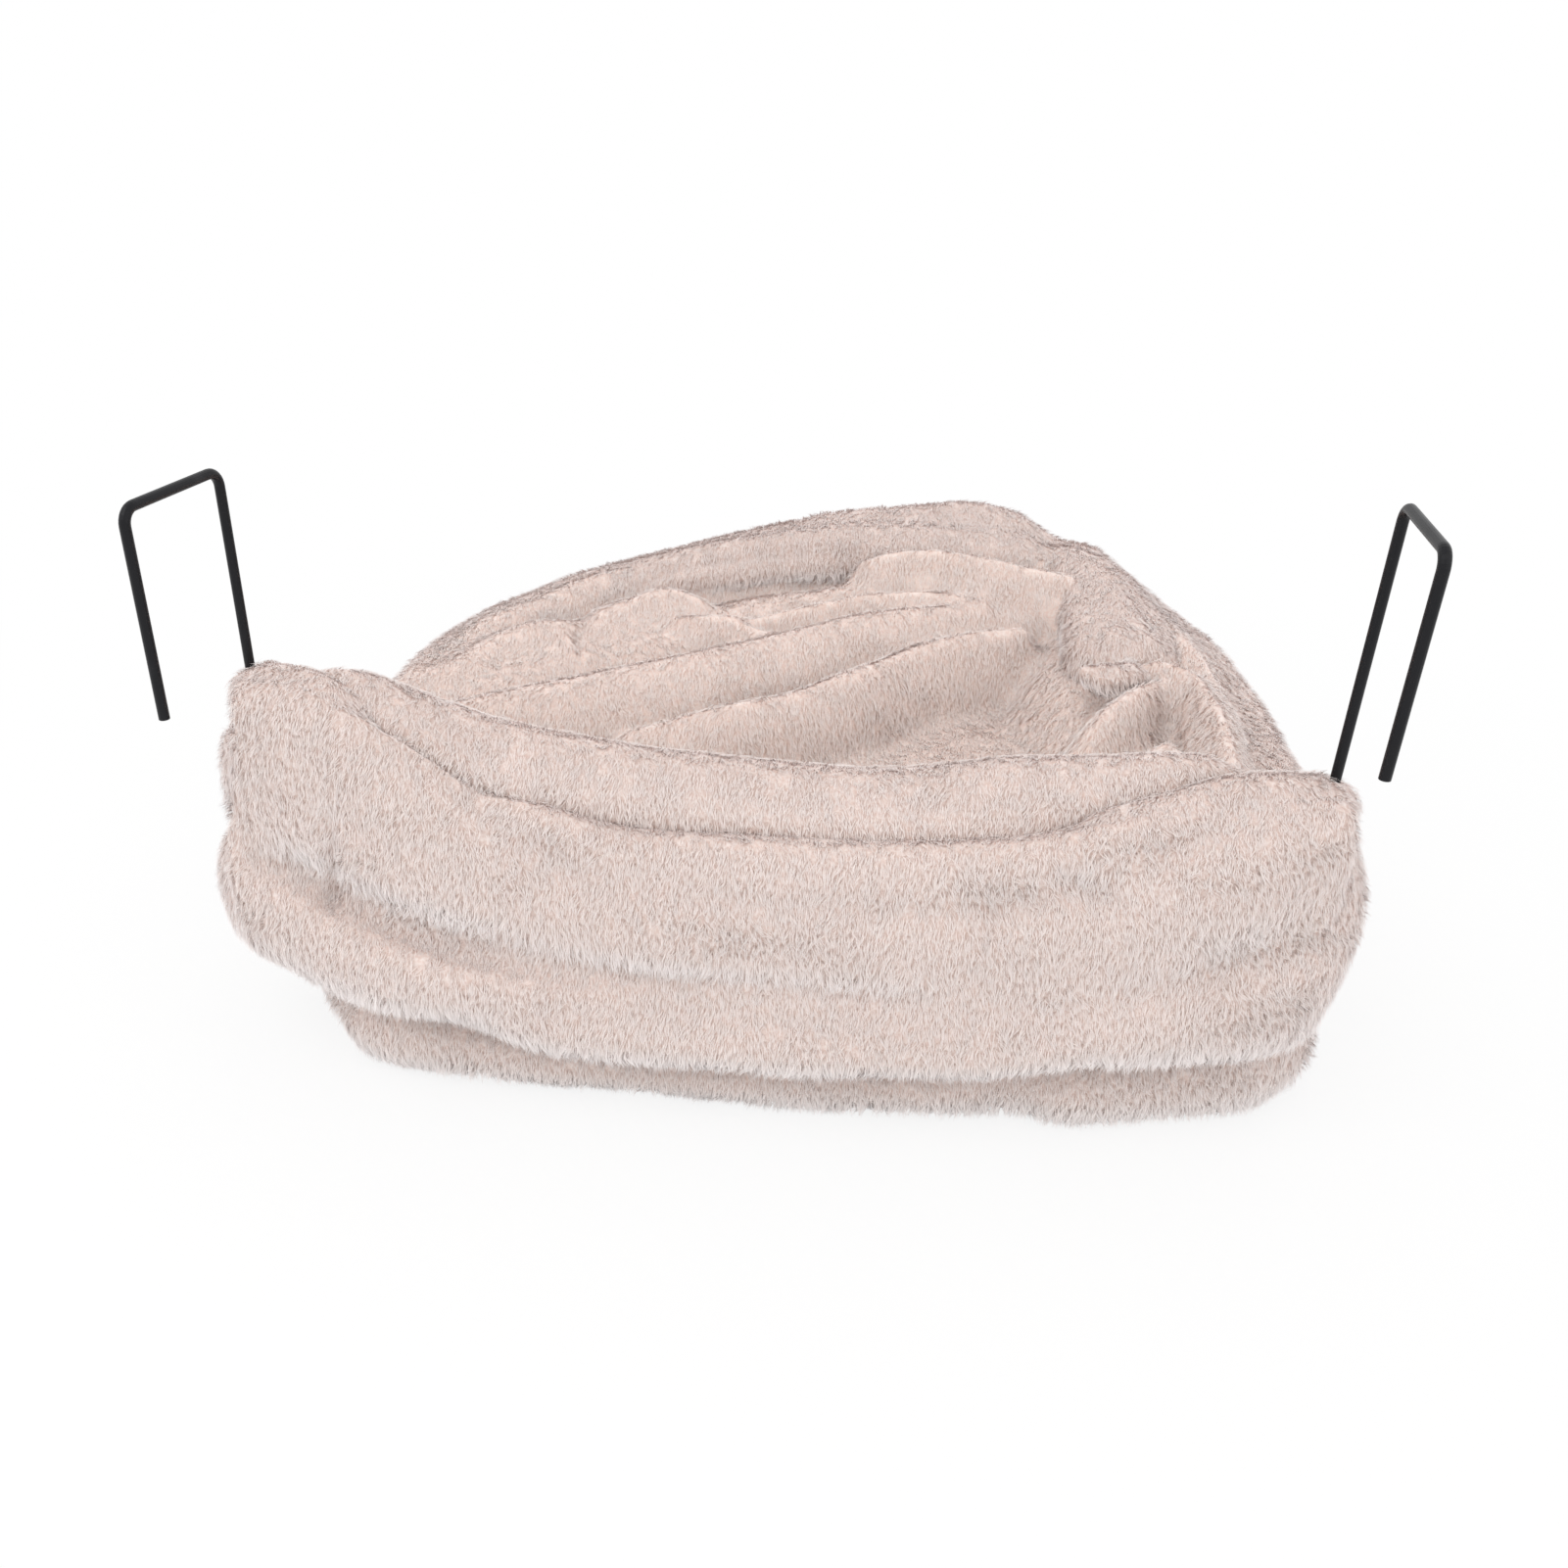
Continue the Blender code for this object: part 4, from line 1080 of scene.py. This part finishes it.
@dataclass(frozen=True)
class Pile:
    """Sizes of the plush pile and the way that it lies."""

    length: float = 0.0056
    width: float = 0.00034
    first_lean: float = math.radians(44.0)
    last_lean: float = math.radians(74.0)
    lean_spread: float = math.radians(5.0)
    band_lean: float = math.radians(34.0)
    band_scale: float = 0.015
    band_stretch: float = 0.28
    band_rate: float = 2.4
    band_turn: float = 0.35
    band_pull: float = 0.3
    tuft_spacing: float = 0.0021
    candidates: float = 2.5
    fibres_per_tuft: int = 6
    quick_spread: float = 1.25
    tuft_radius: float = 0.0011
    tuft_pull: float = 0.50
    tuft_turn: float = 0.22
    fibre_turn: float = 0.12
    fall: Place = (0.0, -0.70, -1.0)
    swirl_scale: float = 0.020
    swirl: float = 0.35
    tuft_tone: float = 0.10
    fibre_tone: float = 0.20
    gleam: float = 0.14
    skyward: float = 0.22
    top_rate: float = 1.4
    top_calm: float = 0.85
    flat_lean: float = math.radians(9.0)
    far_lean: float = math.radians(14.0)
    far_comb: float = 1.0
    far_start: float = 0.8
    far_rate: float = 4.0
    under_rate: float = 3.0
    bright_side: Place = (0.0, -0.89, 0.45)
    length_spread: tuple[float, float] = (0.7, 1.1)
    hang_rate: float = 2.5
    hanging_growth: float = 0.5
    root_depth: float = 0.0004
    low_share: float = 0.45
    low_width: float = 0.85
    low_pull: float = 0.4
    # Fibres hanging below an edge are drawn paler: painted glow of light shining through the thin fringe.
    painted_fringe_glow_tone: float = 0.4
    painted_fringe_glow: float = 0.6
    looks_aside: tuple[Place, ...] = ((0, 0, 0), (0, 0, 1.2), (0.9, 0, 0.3), (-0.9, 0, 0.3),
                                      (0, 0.9, 0.3), (0, -0.9, 0.3))
    look_from: float = 0.0008
    near_table: float = 0.002
    facing_table: float = -0.3
    clear_height: float = 0.002
    view_distance: float = 0.5
    lowest: float = 0.0006
    fibres_per_piece: int = 62000

    def openness(self, mesh: bpy.types.Mesh, cloth: BVHTree) -> np.ndarray:
        """Tell which points of the cloth have room for pile and can be seen from outside.

        Args:
            mesh: The cloth.
            cloth: All the cloth of the sack.

        Returns:
            One for each point that pile can grow on, and zero for the others.
        """
        places = read_places(mesh)
        outs = read_normals(mesh)
        looks = [unit(outs + np.array(aside)) for aside in self.looks_aside]
        free = np.zeros(len(places))
        start = places + outs * self.look_from
        for index, place in enumerate(start.tolist()):
            if place[2] < self.near_table and outs[index, 2] < self.facing_table:
                continue
            if cloth.ray_cast(place, outs[index], self.clear_height)[0] is not None:
                continue
            free[index] = any(cloth.ray_cast(place, look[index], self.view_distance)[0] is None
                              for look in looks)
        return free

    def roots(self, mesh: bpy.types.Mesh, free: np.ndarray, spacing: float,
              draw: np.random.Generator) -> tuple[np.ndarray, np.ndarray]:
        """Scatter tufts evenly over the free parts of a mesh, one in each small cell of space.

        Args:
            mesh: The cloth.
            free: Which points pile can grow on.
            spacing: Size of a cell.
            draw: Where random numbers come from.

        Returns:
            The tufts' roots and the cloth's normals there.
        """
        mesh.calc_loop_triangles()
        corners = np.empty(len(mesh.loop_triangles) * 3, np.int32)
        mesh.loop_triangles.foreach_get("vertices", corners)
        corners = corners.reshape(-1, 3)
        places = read_places(mesh)
        normals = read_normals(mesh)
        first, second, third = (places[corners[:, side]] for side in range(3))
        areas = np.linalg.norm(np.cross(second - first, third - first), axis=1) / 2
        areas *= free[corners].mean(axis=1)
        count = round(areas.sum() * self.candidates / spacing ** 2)
        chosen = draw.choice(len(areas), size=count, p=areas / areas.sum())
        weights = draw.dirichlet((1.0, 1.0, 1.0), size=count)
        roots = (places[corners[chosen]] * weights[:, :, None]).sum(axis=1)
        outs = unit((normals[corners[chosen]] * weights[:, :, None]).sum(axis=1))
        cells = np.floor(roots / spacing).astype(np.int64)
        _, first = np.unique(cells, axis=0, return_index=True)
        return roots[first], outs[first]

    def lie(self, roots: np.ndarray, outs: np.ndarray) -> np.ndarray:
        """Find the way each tuft leans, which is downward with slow swirls.

        Args:
            roots: The tufts' roots.
            outs: The cloth's normals there.

        Returns:
            Directions along the cloth.
        """
        fall = np.array(self.fall) + self.swirl * noise_vectors(roots, self.swirl_scale)
        fall[:, 0] += self.far_comb * self.turned(outs)
        return unit(fall - outs * (fall * outs).sum(axis=1, keepdims=True))

    def turned(self, outs: np.ndarray) -> np.ndarray:
        """Tell how far the upper cloth faces away from the bright side, from zero to one.

        Args:
            outs: The cloth's normals.

        Returns:
            A share for each normal.
        """
        share = np.clip(self.far_start - self.far_rate * outs @ np.array(self.bright_side), 0.0, 1.0)
        return share * np.clip(1 + self.under_rate * outs[:, 2], 0.0, 1.0)

    def fibres(self, roots: np.ndarray, outs: np.ndarray,
               draw: np.random.Generator) -> tuple[np.ndarray, np.ndarray, np.ndarray]:
        """Bend each tuft's fibres over, so that they draw together at their tips.

        Args:
            roots: The tufts' roots.
            outs: The cloth's normals there.
            draw: Where random numbers come from.

        Returns:
            Array of fibres by five points by three, two at the root, two half way and the tip, the
            direction that each fibre takes light from, and how freely it hangs below an edge.
        """
        tufts = len(roots)
        ways = self.lie(roots, outs)
        sides = np.cross(outs, ways)
        band = noise_field(roots * np.array([self.band_stretch, 1.0, 1.0]), self.band_scale)
        top = np.clip(self.top_rate * outs[:, 2], 0.0, 1.0)
        stand = np.clip(self.band_rate * band, 0.0, 1.0) * (1 - self.top_calm * top)
        turn = (draw.normal(0.0, 1.0, tufts) * (self.tuft_turn + self.band_turn * stand))[:, None]
        ways = ways * np.cos(turn) + sides * np.sin(turn)
        lean = draw.normal(0.0, self.lean_spread, tufts) - self.band_lean * stand
        lean += self.flat_lean * np.clip(outs[:, 2], 0.0, 1.0)
        turned = self.turned(outs)
        lean += self.far_lean * turned * np.clip(self.far_rate * outs[:, 2], 0.0, 1.0)
        hang = np.clip(-self.hang_rate * outs[:, 2], 0.0, 1.0)
        pull = self.tuft_pull + self.band_pull * stand
        count = tufts * self.fibres_per_tuft
        own = np.repeat(np.arange(tufts), self.fibres_per_tuft)
        outs, ways, lean, pull = outs[own], ways[own], lean[own][:, None], pull[own][:, None]
        sides = np.cross(outs, ways)
        offset = draw.normal(0.0, self.tuft_radius, (count, 2))
        offset = sides * offset[:, :1] + ways * offset[:, 1:]
        turn = draw.normal(0.0, self.fibre_turn, count)[:, None]
        ways = ways * np.cos(turn) + sides * np.sin(turn)
        hang = hang[own]
        length = self.length * draw.uniform(*self.length_spread, count)
        length = (length * (1 + self.hanging_growth * hang))[:, None]
        start = roots[own] + offset - outs * self.root_depth
        first, last = self.first_lean + lean, self.last_lean + lean
        low = length * self.low_share * (outs * np.cos(first) + ways * np.sin(first))
        low += start - offset * pull * self.low_pull
        tip = length * (1 - self.low_share) * (outs * np.cos(last) + ways * np.sin(last))
        tip += low - offset * pull * (1 - self.low_pull)
        shine = outs + sides * draw.normal(0.0, self.gleam, count)[:, None]
        shine[:, 2] = np.maximum(shine[:, 2] + self.skyward, self.skyward)
        upward = turned[own][:, None]
        shine = unit(unit(shine) * (1 - upward) + np.array(UP) * upward)
        half = unit(np.cross(shine, tip - start)) * self.width / 2
        low_half = half * self.low_width
        points = np.stack([start - half, start + half, low - low_half, low + low_half, tip], axis=1)
        points[:, :, 2] = np.maximum(points[:, :, 2], self.lowest)
        return points, shine, hang

    def mesh(self, name: str, points: np.ndarray, tones: np.ndarray, shine: np.ndarray,
             hang: np.ndarray) -> bpy.types.Mesh:
        """Make the mesh of many fibres, each a quad and a triangle, which take light as the cloth does.

        Args:
            name: Name of the mesh.
            points: The fibres' points.
            tones: One tone for each fibre.
            shine: The direction that each fibre takes light from.
            hang: How freely each fibre hangs below an edge; its colour is pushed to the pale tip as painted
                glow.

        Returns:
            The mesh, with its tone and the way along each fibre as attributes.
        """
        count, size = points.shape[:2]
        pattern = np.array([1, 0, 2, 3, 3, 2, 4])
        corners = (np.arange(count)[:, None] * size + pattern[None, :]).ravel()
        mesh = bpy.data.meshes.new(name)
        mesh.vertices.add(count * size)
        mesh.vertices.foreach_set("co", points.ravel())
        mesh.loops.add(len(corners))
        mesh.loops.foreach_set("vertex_index", corners)
        mesh.polygons.add(count * 2)
        starts = (np.arange(count)[:, None] * len(pattern) + np.array([0, 4])[None, :]).ravel()
        mesh.polygons.foreach_set("loop_start", starts)
        mesh.update(calc_edges=True)
        along = mesh.attributes.new("along", "FLOAT", "POINT")
        ways = np.array([0.0, 0.0, 0.5, 0.5, 1.0])
        # Hanging fibres' colour is pushed toward the pale tip: painted glow of light through the fringe.
        ways = ways + hang[:, None] * self.painted_fringe_glow * (1 - ways)
        along.data.foreach_set("value", ways.ravel())
        tone = mesh.attributes.new("tone", "FLOAT", "POINT")
        tone.data.foreach_set("value", np.repeat(tones, size))
        layer = mesh.uv_layers.new(name="OFBake")
        left = np.repeat(0.02 + 0.95 * tones, len(pattern))
        wide = np.tile([0.004, 0.0, 0.0, 0.004, 0.004, 0.0, 0.002], count)
        high = np.tile([0.02, 0.02, 0.5, 0.5, 0.5, 0.5, 0.98], count)
        layer.data.foreach_set("uv", np.stack([left + wide, high], axis=1).ravel())
        mesh.shade_smooth()
        normal = mesh.attributes.new("custom_normal", "FLOAT_VECTOR", "POINT")
        normal.data.foreach_set("vector", np.repeat(shine, size, axis=0).ravel())
        return mesh

    def grow(self, piece: bpy.types.Object, soft: SoftPiece, cloth: BVHTree,
             seed: int) -> list[bpy.types.Object]:
        """Grow the pile of one piece.

        Args:
            piece: The cloth's object.
            soft: What the piece is.
            cloth: All the cloth of the sack.
            seed: Seed of the random numbers.

        Returns:
            The pieces of its pile.
        """
        draw = np.random.default_rng(seed)
        spacing = self.tuft_spacing * 1.0
        roots, outs = self.roots(piece.data, self.openness(piece.data, cloth), spacing, draw)
        points, shine, hang = self.fibres(roots, outs, draw)
        tones = np.repeat(draw.normal(0.5, self.tuft_tone, len(roots)), self.fibres_per_tuft)
        # Hanging fibres also get a paler tone: painted glow of light through the fringe.
        tones += draw.normal(0.0, self.fibre_tone, len(points)) + self.painted_fringe_glow_tone * hang
        tones = np.clip(tones, 0.0, 1.0)
        material = soft.finish.pile()
        grown = []
        for number, first in enumerate(range(0, len(points), self.fibres_per_piece)):
            span = slice(first, first + self.fibres_per_piece)
            name = f"{piece.name}_pile_{number + 1}"
            mesh = self.mesh(name, points[span], tones[span], shine[span], hang[span])
            mesh.materials.append(material)
            part = add_object(name, mesh)
            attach(part, SACK)
            grown.append(part)
        LOG.info("%s: %d fibres", piece.name, len(points))
        return grown


class Sack:
    """The plush sack: its cloth pieces and the pile on them."""

    def __init__(self) -> None:
        """List the sack's pieces."""
        self.soft = [BackPanel(), NearRim(), HoopRim(), FrontWall(), Lining(), Base(), Wadding(),
                     CornerSleeve("left_sleeve_plush", ("left_corner_sleeve",)),
                     CornerSleeve("right_sleeve_plush", ("right_corner_sleeve",))]
        self.pile = Pile()

    def build(self) -> None:
        """Build the cloth first, then the pile that grows where the cloth is open."""
        pieces = [soft.build() for soft in self.soft]
        cloth_mesh = joined("all_cloth", [piece.data for piece in pieces])
        cloth = surface_tree(cloth_mesh)
        bpy.data.meshes.remove(cloth_mesh)
        for number, (soft, piece) in enumerate(zip(self.soft, pieces)):
            pile = self.pile.grow(piece, soft, cloth, number + 1) if soft.has_pile else []
            soft.declare(piece, pile)


@dataclass
class WireParts:
    """Hooks, sockets, hoop and bar of coated steel."""

    nodes: tuple[str, ...] = ("left_hook", "right_hook", "left_socket", "right_socket", "hoop_wire",
                              "back_bar")
    finish: CoatFinish = BLACK_COAT
    sharp_from: float = math.radians(50.0)

    def build(self) -> None:
        """Dress each wire part with the powder coat."""
        material = self.finish.material()
        for name in self.nodes:
            node = frame["nodes"][name]
            node.data.materials.clear()
            node.data.materials.append(material)
            node.data.shade_smooth()
            node.data.set_sharp_from_angle(angle=self.sharp_from)
            LOG.info("%s: powder coat", name)


# Studio


@dataclass
class Studio:
    """Camera at the photograph's place, white floor and soft light."""

    eye: Place = (0.01606, -0.45144, 0.37671)
    pitch: float = math.radians(63.0)
    heading: float = math.radians(6.43)
    lens: float = 29.23
    sensor: float = 36.0
    shift: tuple[float, float] = (0.0615, -0.0134)
    nearest: float = 0.01
    floor_size: float = 12.0
    floor_colour: Colour = (0.95, 0.95, 0.95)
    floor_glow: float = 0.84
    shadow_reach: float = 0.34
    white_from: float = 0.75
    sky_strength: float = 0.84
    lamp_size: float = 1.4
    lamp_aim: Place = (0.0, 0.0, 0.08)
    key_power: float = 12.0
    key_place: Place = (-0.9, -0.9, 1.8)
    fill_power: float = 4.0
    fill_place: Place = (1.2, -1.0, 1.1)

    def camera(self) -> None:
        """Stand the camera where the photograph was taken."""
        data = bpy.data.cameras.new("camera")
        data.lens = self.lens
        data.sensor_width = self.sensor
        data.shift_x, data.shift_y = self.shift
        data.clip_start = self.nearest
        eye = bpy.data.objects.new("camera", data)
        eye.location = ORIGIN + Vector(self.eye)
        eye.rotation_euler = (self.pitch, 0.0, self.heading)
        bpy.context.scene.collection.objects.link(eye)
        bpy.context.scene.camera = eye

    def floor(self) -> None:
        """Lay the white floor, which keeps a soft shadow."""
        half = self.floor_size / 2
        mesh = bpy.data.meshes.new("floor")
        corners = [(-half, -half, 0), (half, -half, 0), (half, half, 0), (-half, half, 0)]
        mesh.from_pydata(corners, [], [(0, 1, 2, 3)])
        material, sheet, shader = start_material("white_floor")
        shader.inputs["Base Color"].default_value = (*self.floor_colour, 1.0)
        shader.inputs["Roughness"].default_value = 1.0
        shader.inputs["Specular IOR Level"].default_value = 0.0
        glow = sheet.add("ShaderNodeEmission")
        mix = sheet.add("ShaderNodeMixShader")
        far = sheet.add("ShaderNodeVectorMath", operation="LENGTH")
        sheet.join(sheet.add("ShaderNodeTexCoord").outputs["Object"], far.inputs[0])
        white = ranged(sheet, far.outputs["Value"], self.shadow_reach, self.white_from)
        white.node.inputs["To Min"].default_value = self.floor_glow
        seen = sheet.add("ShaderNodeMath", operation="MULTIPLY")
        sheet.join(sheet.add("ShaderNodeLightPath").outputs["Is Camera Ray"], seen.inputs[0])
        sheet.join(white, seen.inputs[1])
        sheet.join(seen.outputs[0], mix.inputs["Fac"])
        sheet.join(shader.outputs["BSDF"], mix.inputs[1])
        sheet.join(glow.outputs["Emission"], mix.inputs[2])
        sheet.join(mix.outputs["Shader"], sheet.tree.nodes["Material Output"].inputs["Surface"])
        mesh.materials.append(material)
        add_object("floor", mesh)

    def sky(self) -> None:
        """Surround the bed with plain white, and light it softly."""
        world = bpy.data.worlds.new("studio")
        world.use_nodes = True
        bpy.context.scene.world = world
        sheet = Sheet(world.node_tree)
        back = world.node_tree.nodes["Background"]
        back.inputs["Color"].default_value = (1.0, 1.0, 1.0, 1.0)
        path = sheet.add("ShaderNodeLightPath").outputs
        direct = sheet.add("ShaderNodeMath", operation="MAXIMUM")
        sheet.join(path["Is Camera Ray"], direct.inputs[0])
        sheet.join(path["Is Glossy Ray"], direct.inputs[1])
        seen = sheet.add("ShaderNodeMath", operation="MAXIMUM")
        sheet.join(direct.outputs[0], seen.inputs[0])
        sheet.join(path["Is Transmission Ray"], seen.inputs[1])
        strength = sheet.add("ShaderNodeMapRange")
        sheet.join(seen.outputs[0], strength.inputs["Value"])
        strength.inputs["To Min"].default_value = self.sky_strength
        strength.inputs["To Max"].default_value = 1.0
        sheet.join(strength.outputs["Result"], back.inputs["Strength"])

    def lamp(self, name: str, place: Place, power: float) -> None:
        """Hang a wide lamp that points at the bed.

        Args:
            name: Name of the lamp.
            place: Where it hangs.
            power: Its power in watts.
        """
        data = bpy.data.lights.new(name, "AREA")
        data.energy = power
        data.shape = "SQUARE"
        data.size = self.lamp_size
        lamp = bpy.data.objects.new(name, data)
        lamp.location = place
        way = Vector(self.lamp_aim) - Vector(place)
        lamp.rotation_euler = way.to_track_quat("-Z", "Y").to_euler()
        bpy.context.scene.collection.objects.link(lamp)

    def build(self) -> None:
        """Set up the camera, floor, sky and lamps."""
        self.camera()
        self.floor()
        self.sky()
        self.lamp("key_lamp", self.key_place, self.key_power)
        self.lamp("fill_lamp", self.fill_place, self.fill_power)
        bpy.context.scene.view_settings.view_transform = "Standard"
        LOG.info("studio: camera, floor, sky and lamps")


def main() -> None:
    """Dress the bed and set up the studio."""
    logging.basicConfig(level=logging.INFO, format="%(message)s")
    Studio().build()
    WireParts().build()
    Sack().build()


if __name__ == "__main__":
    main()
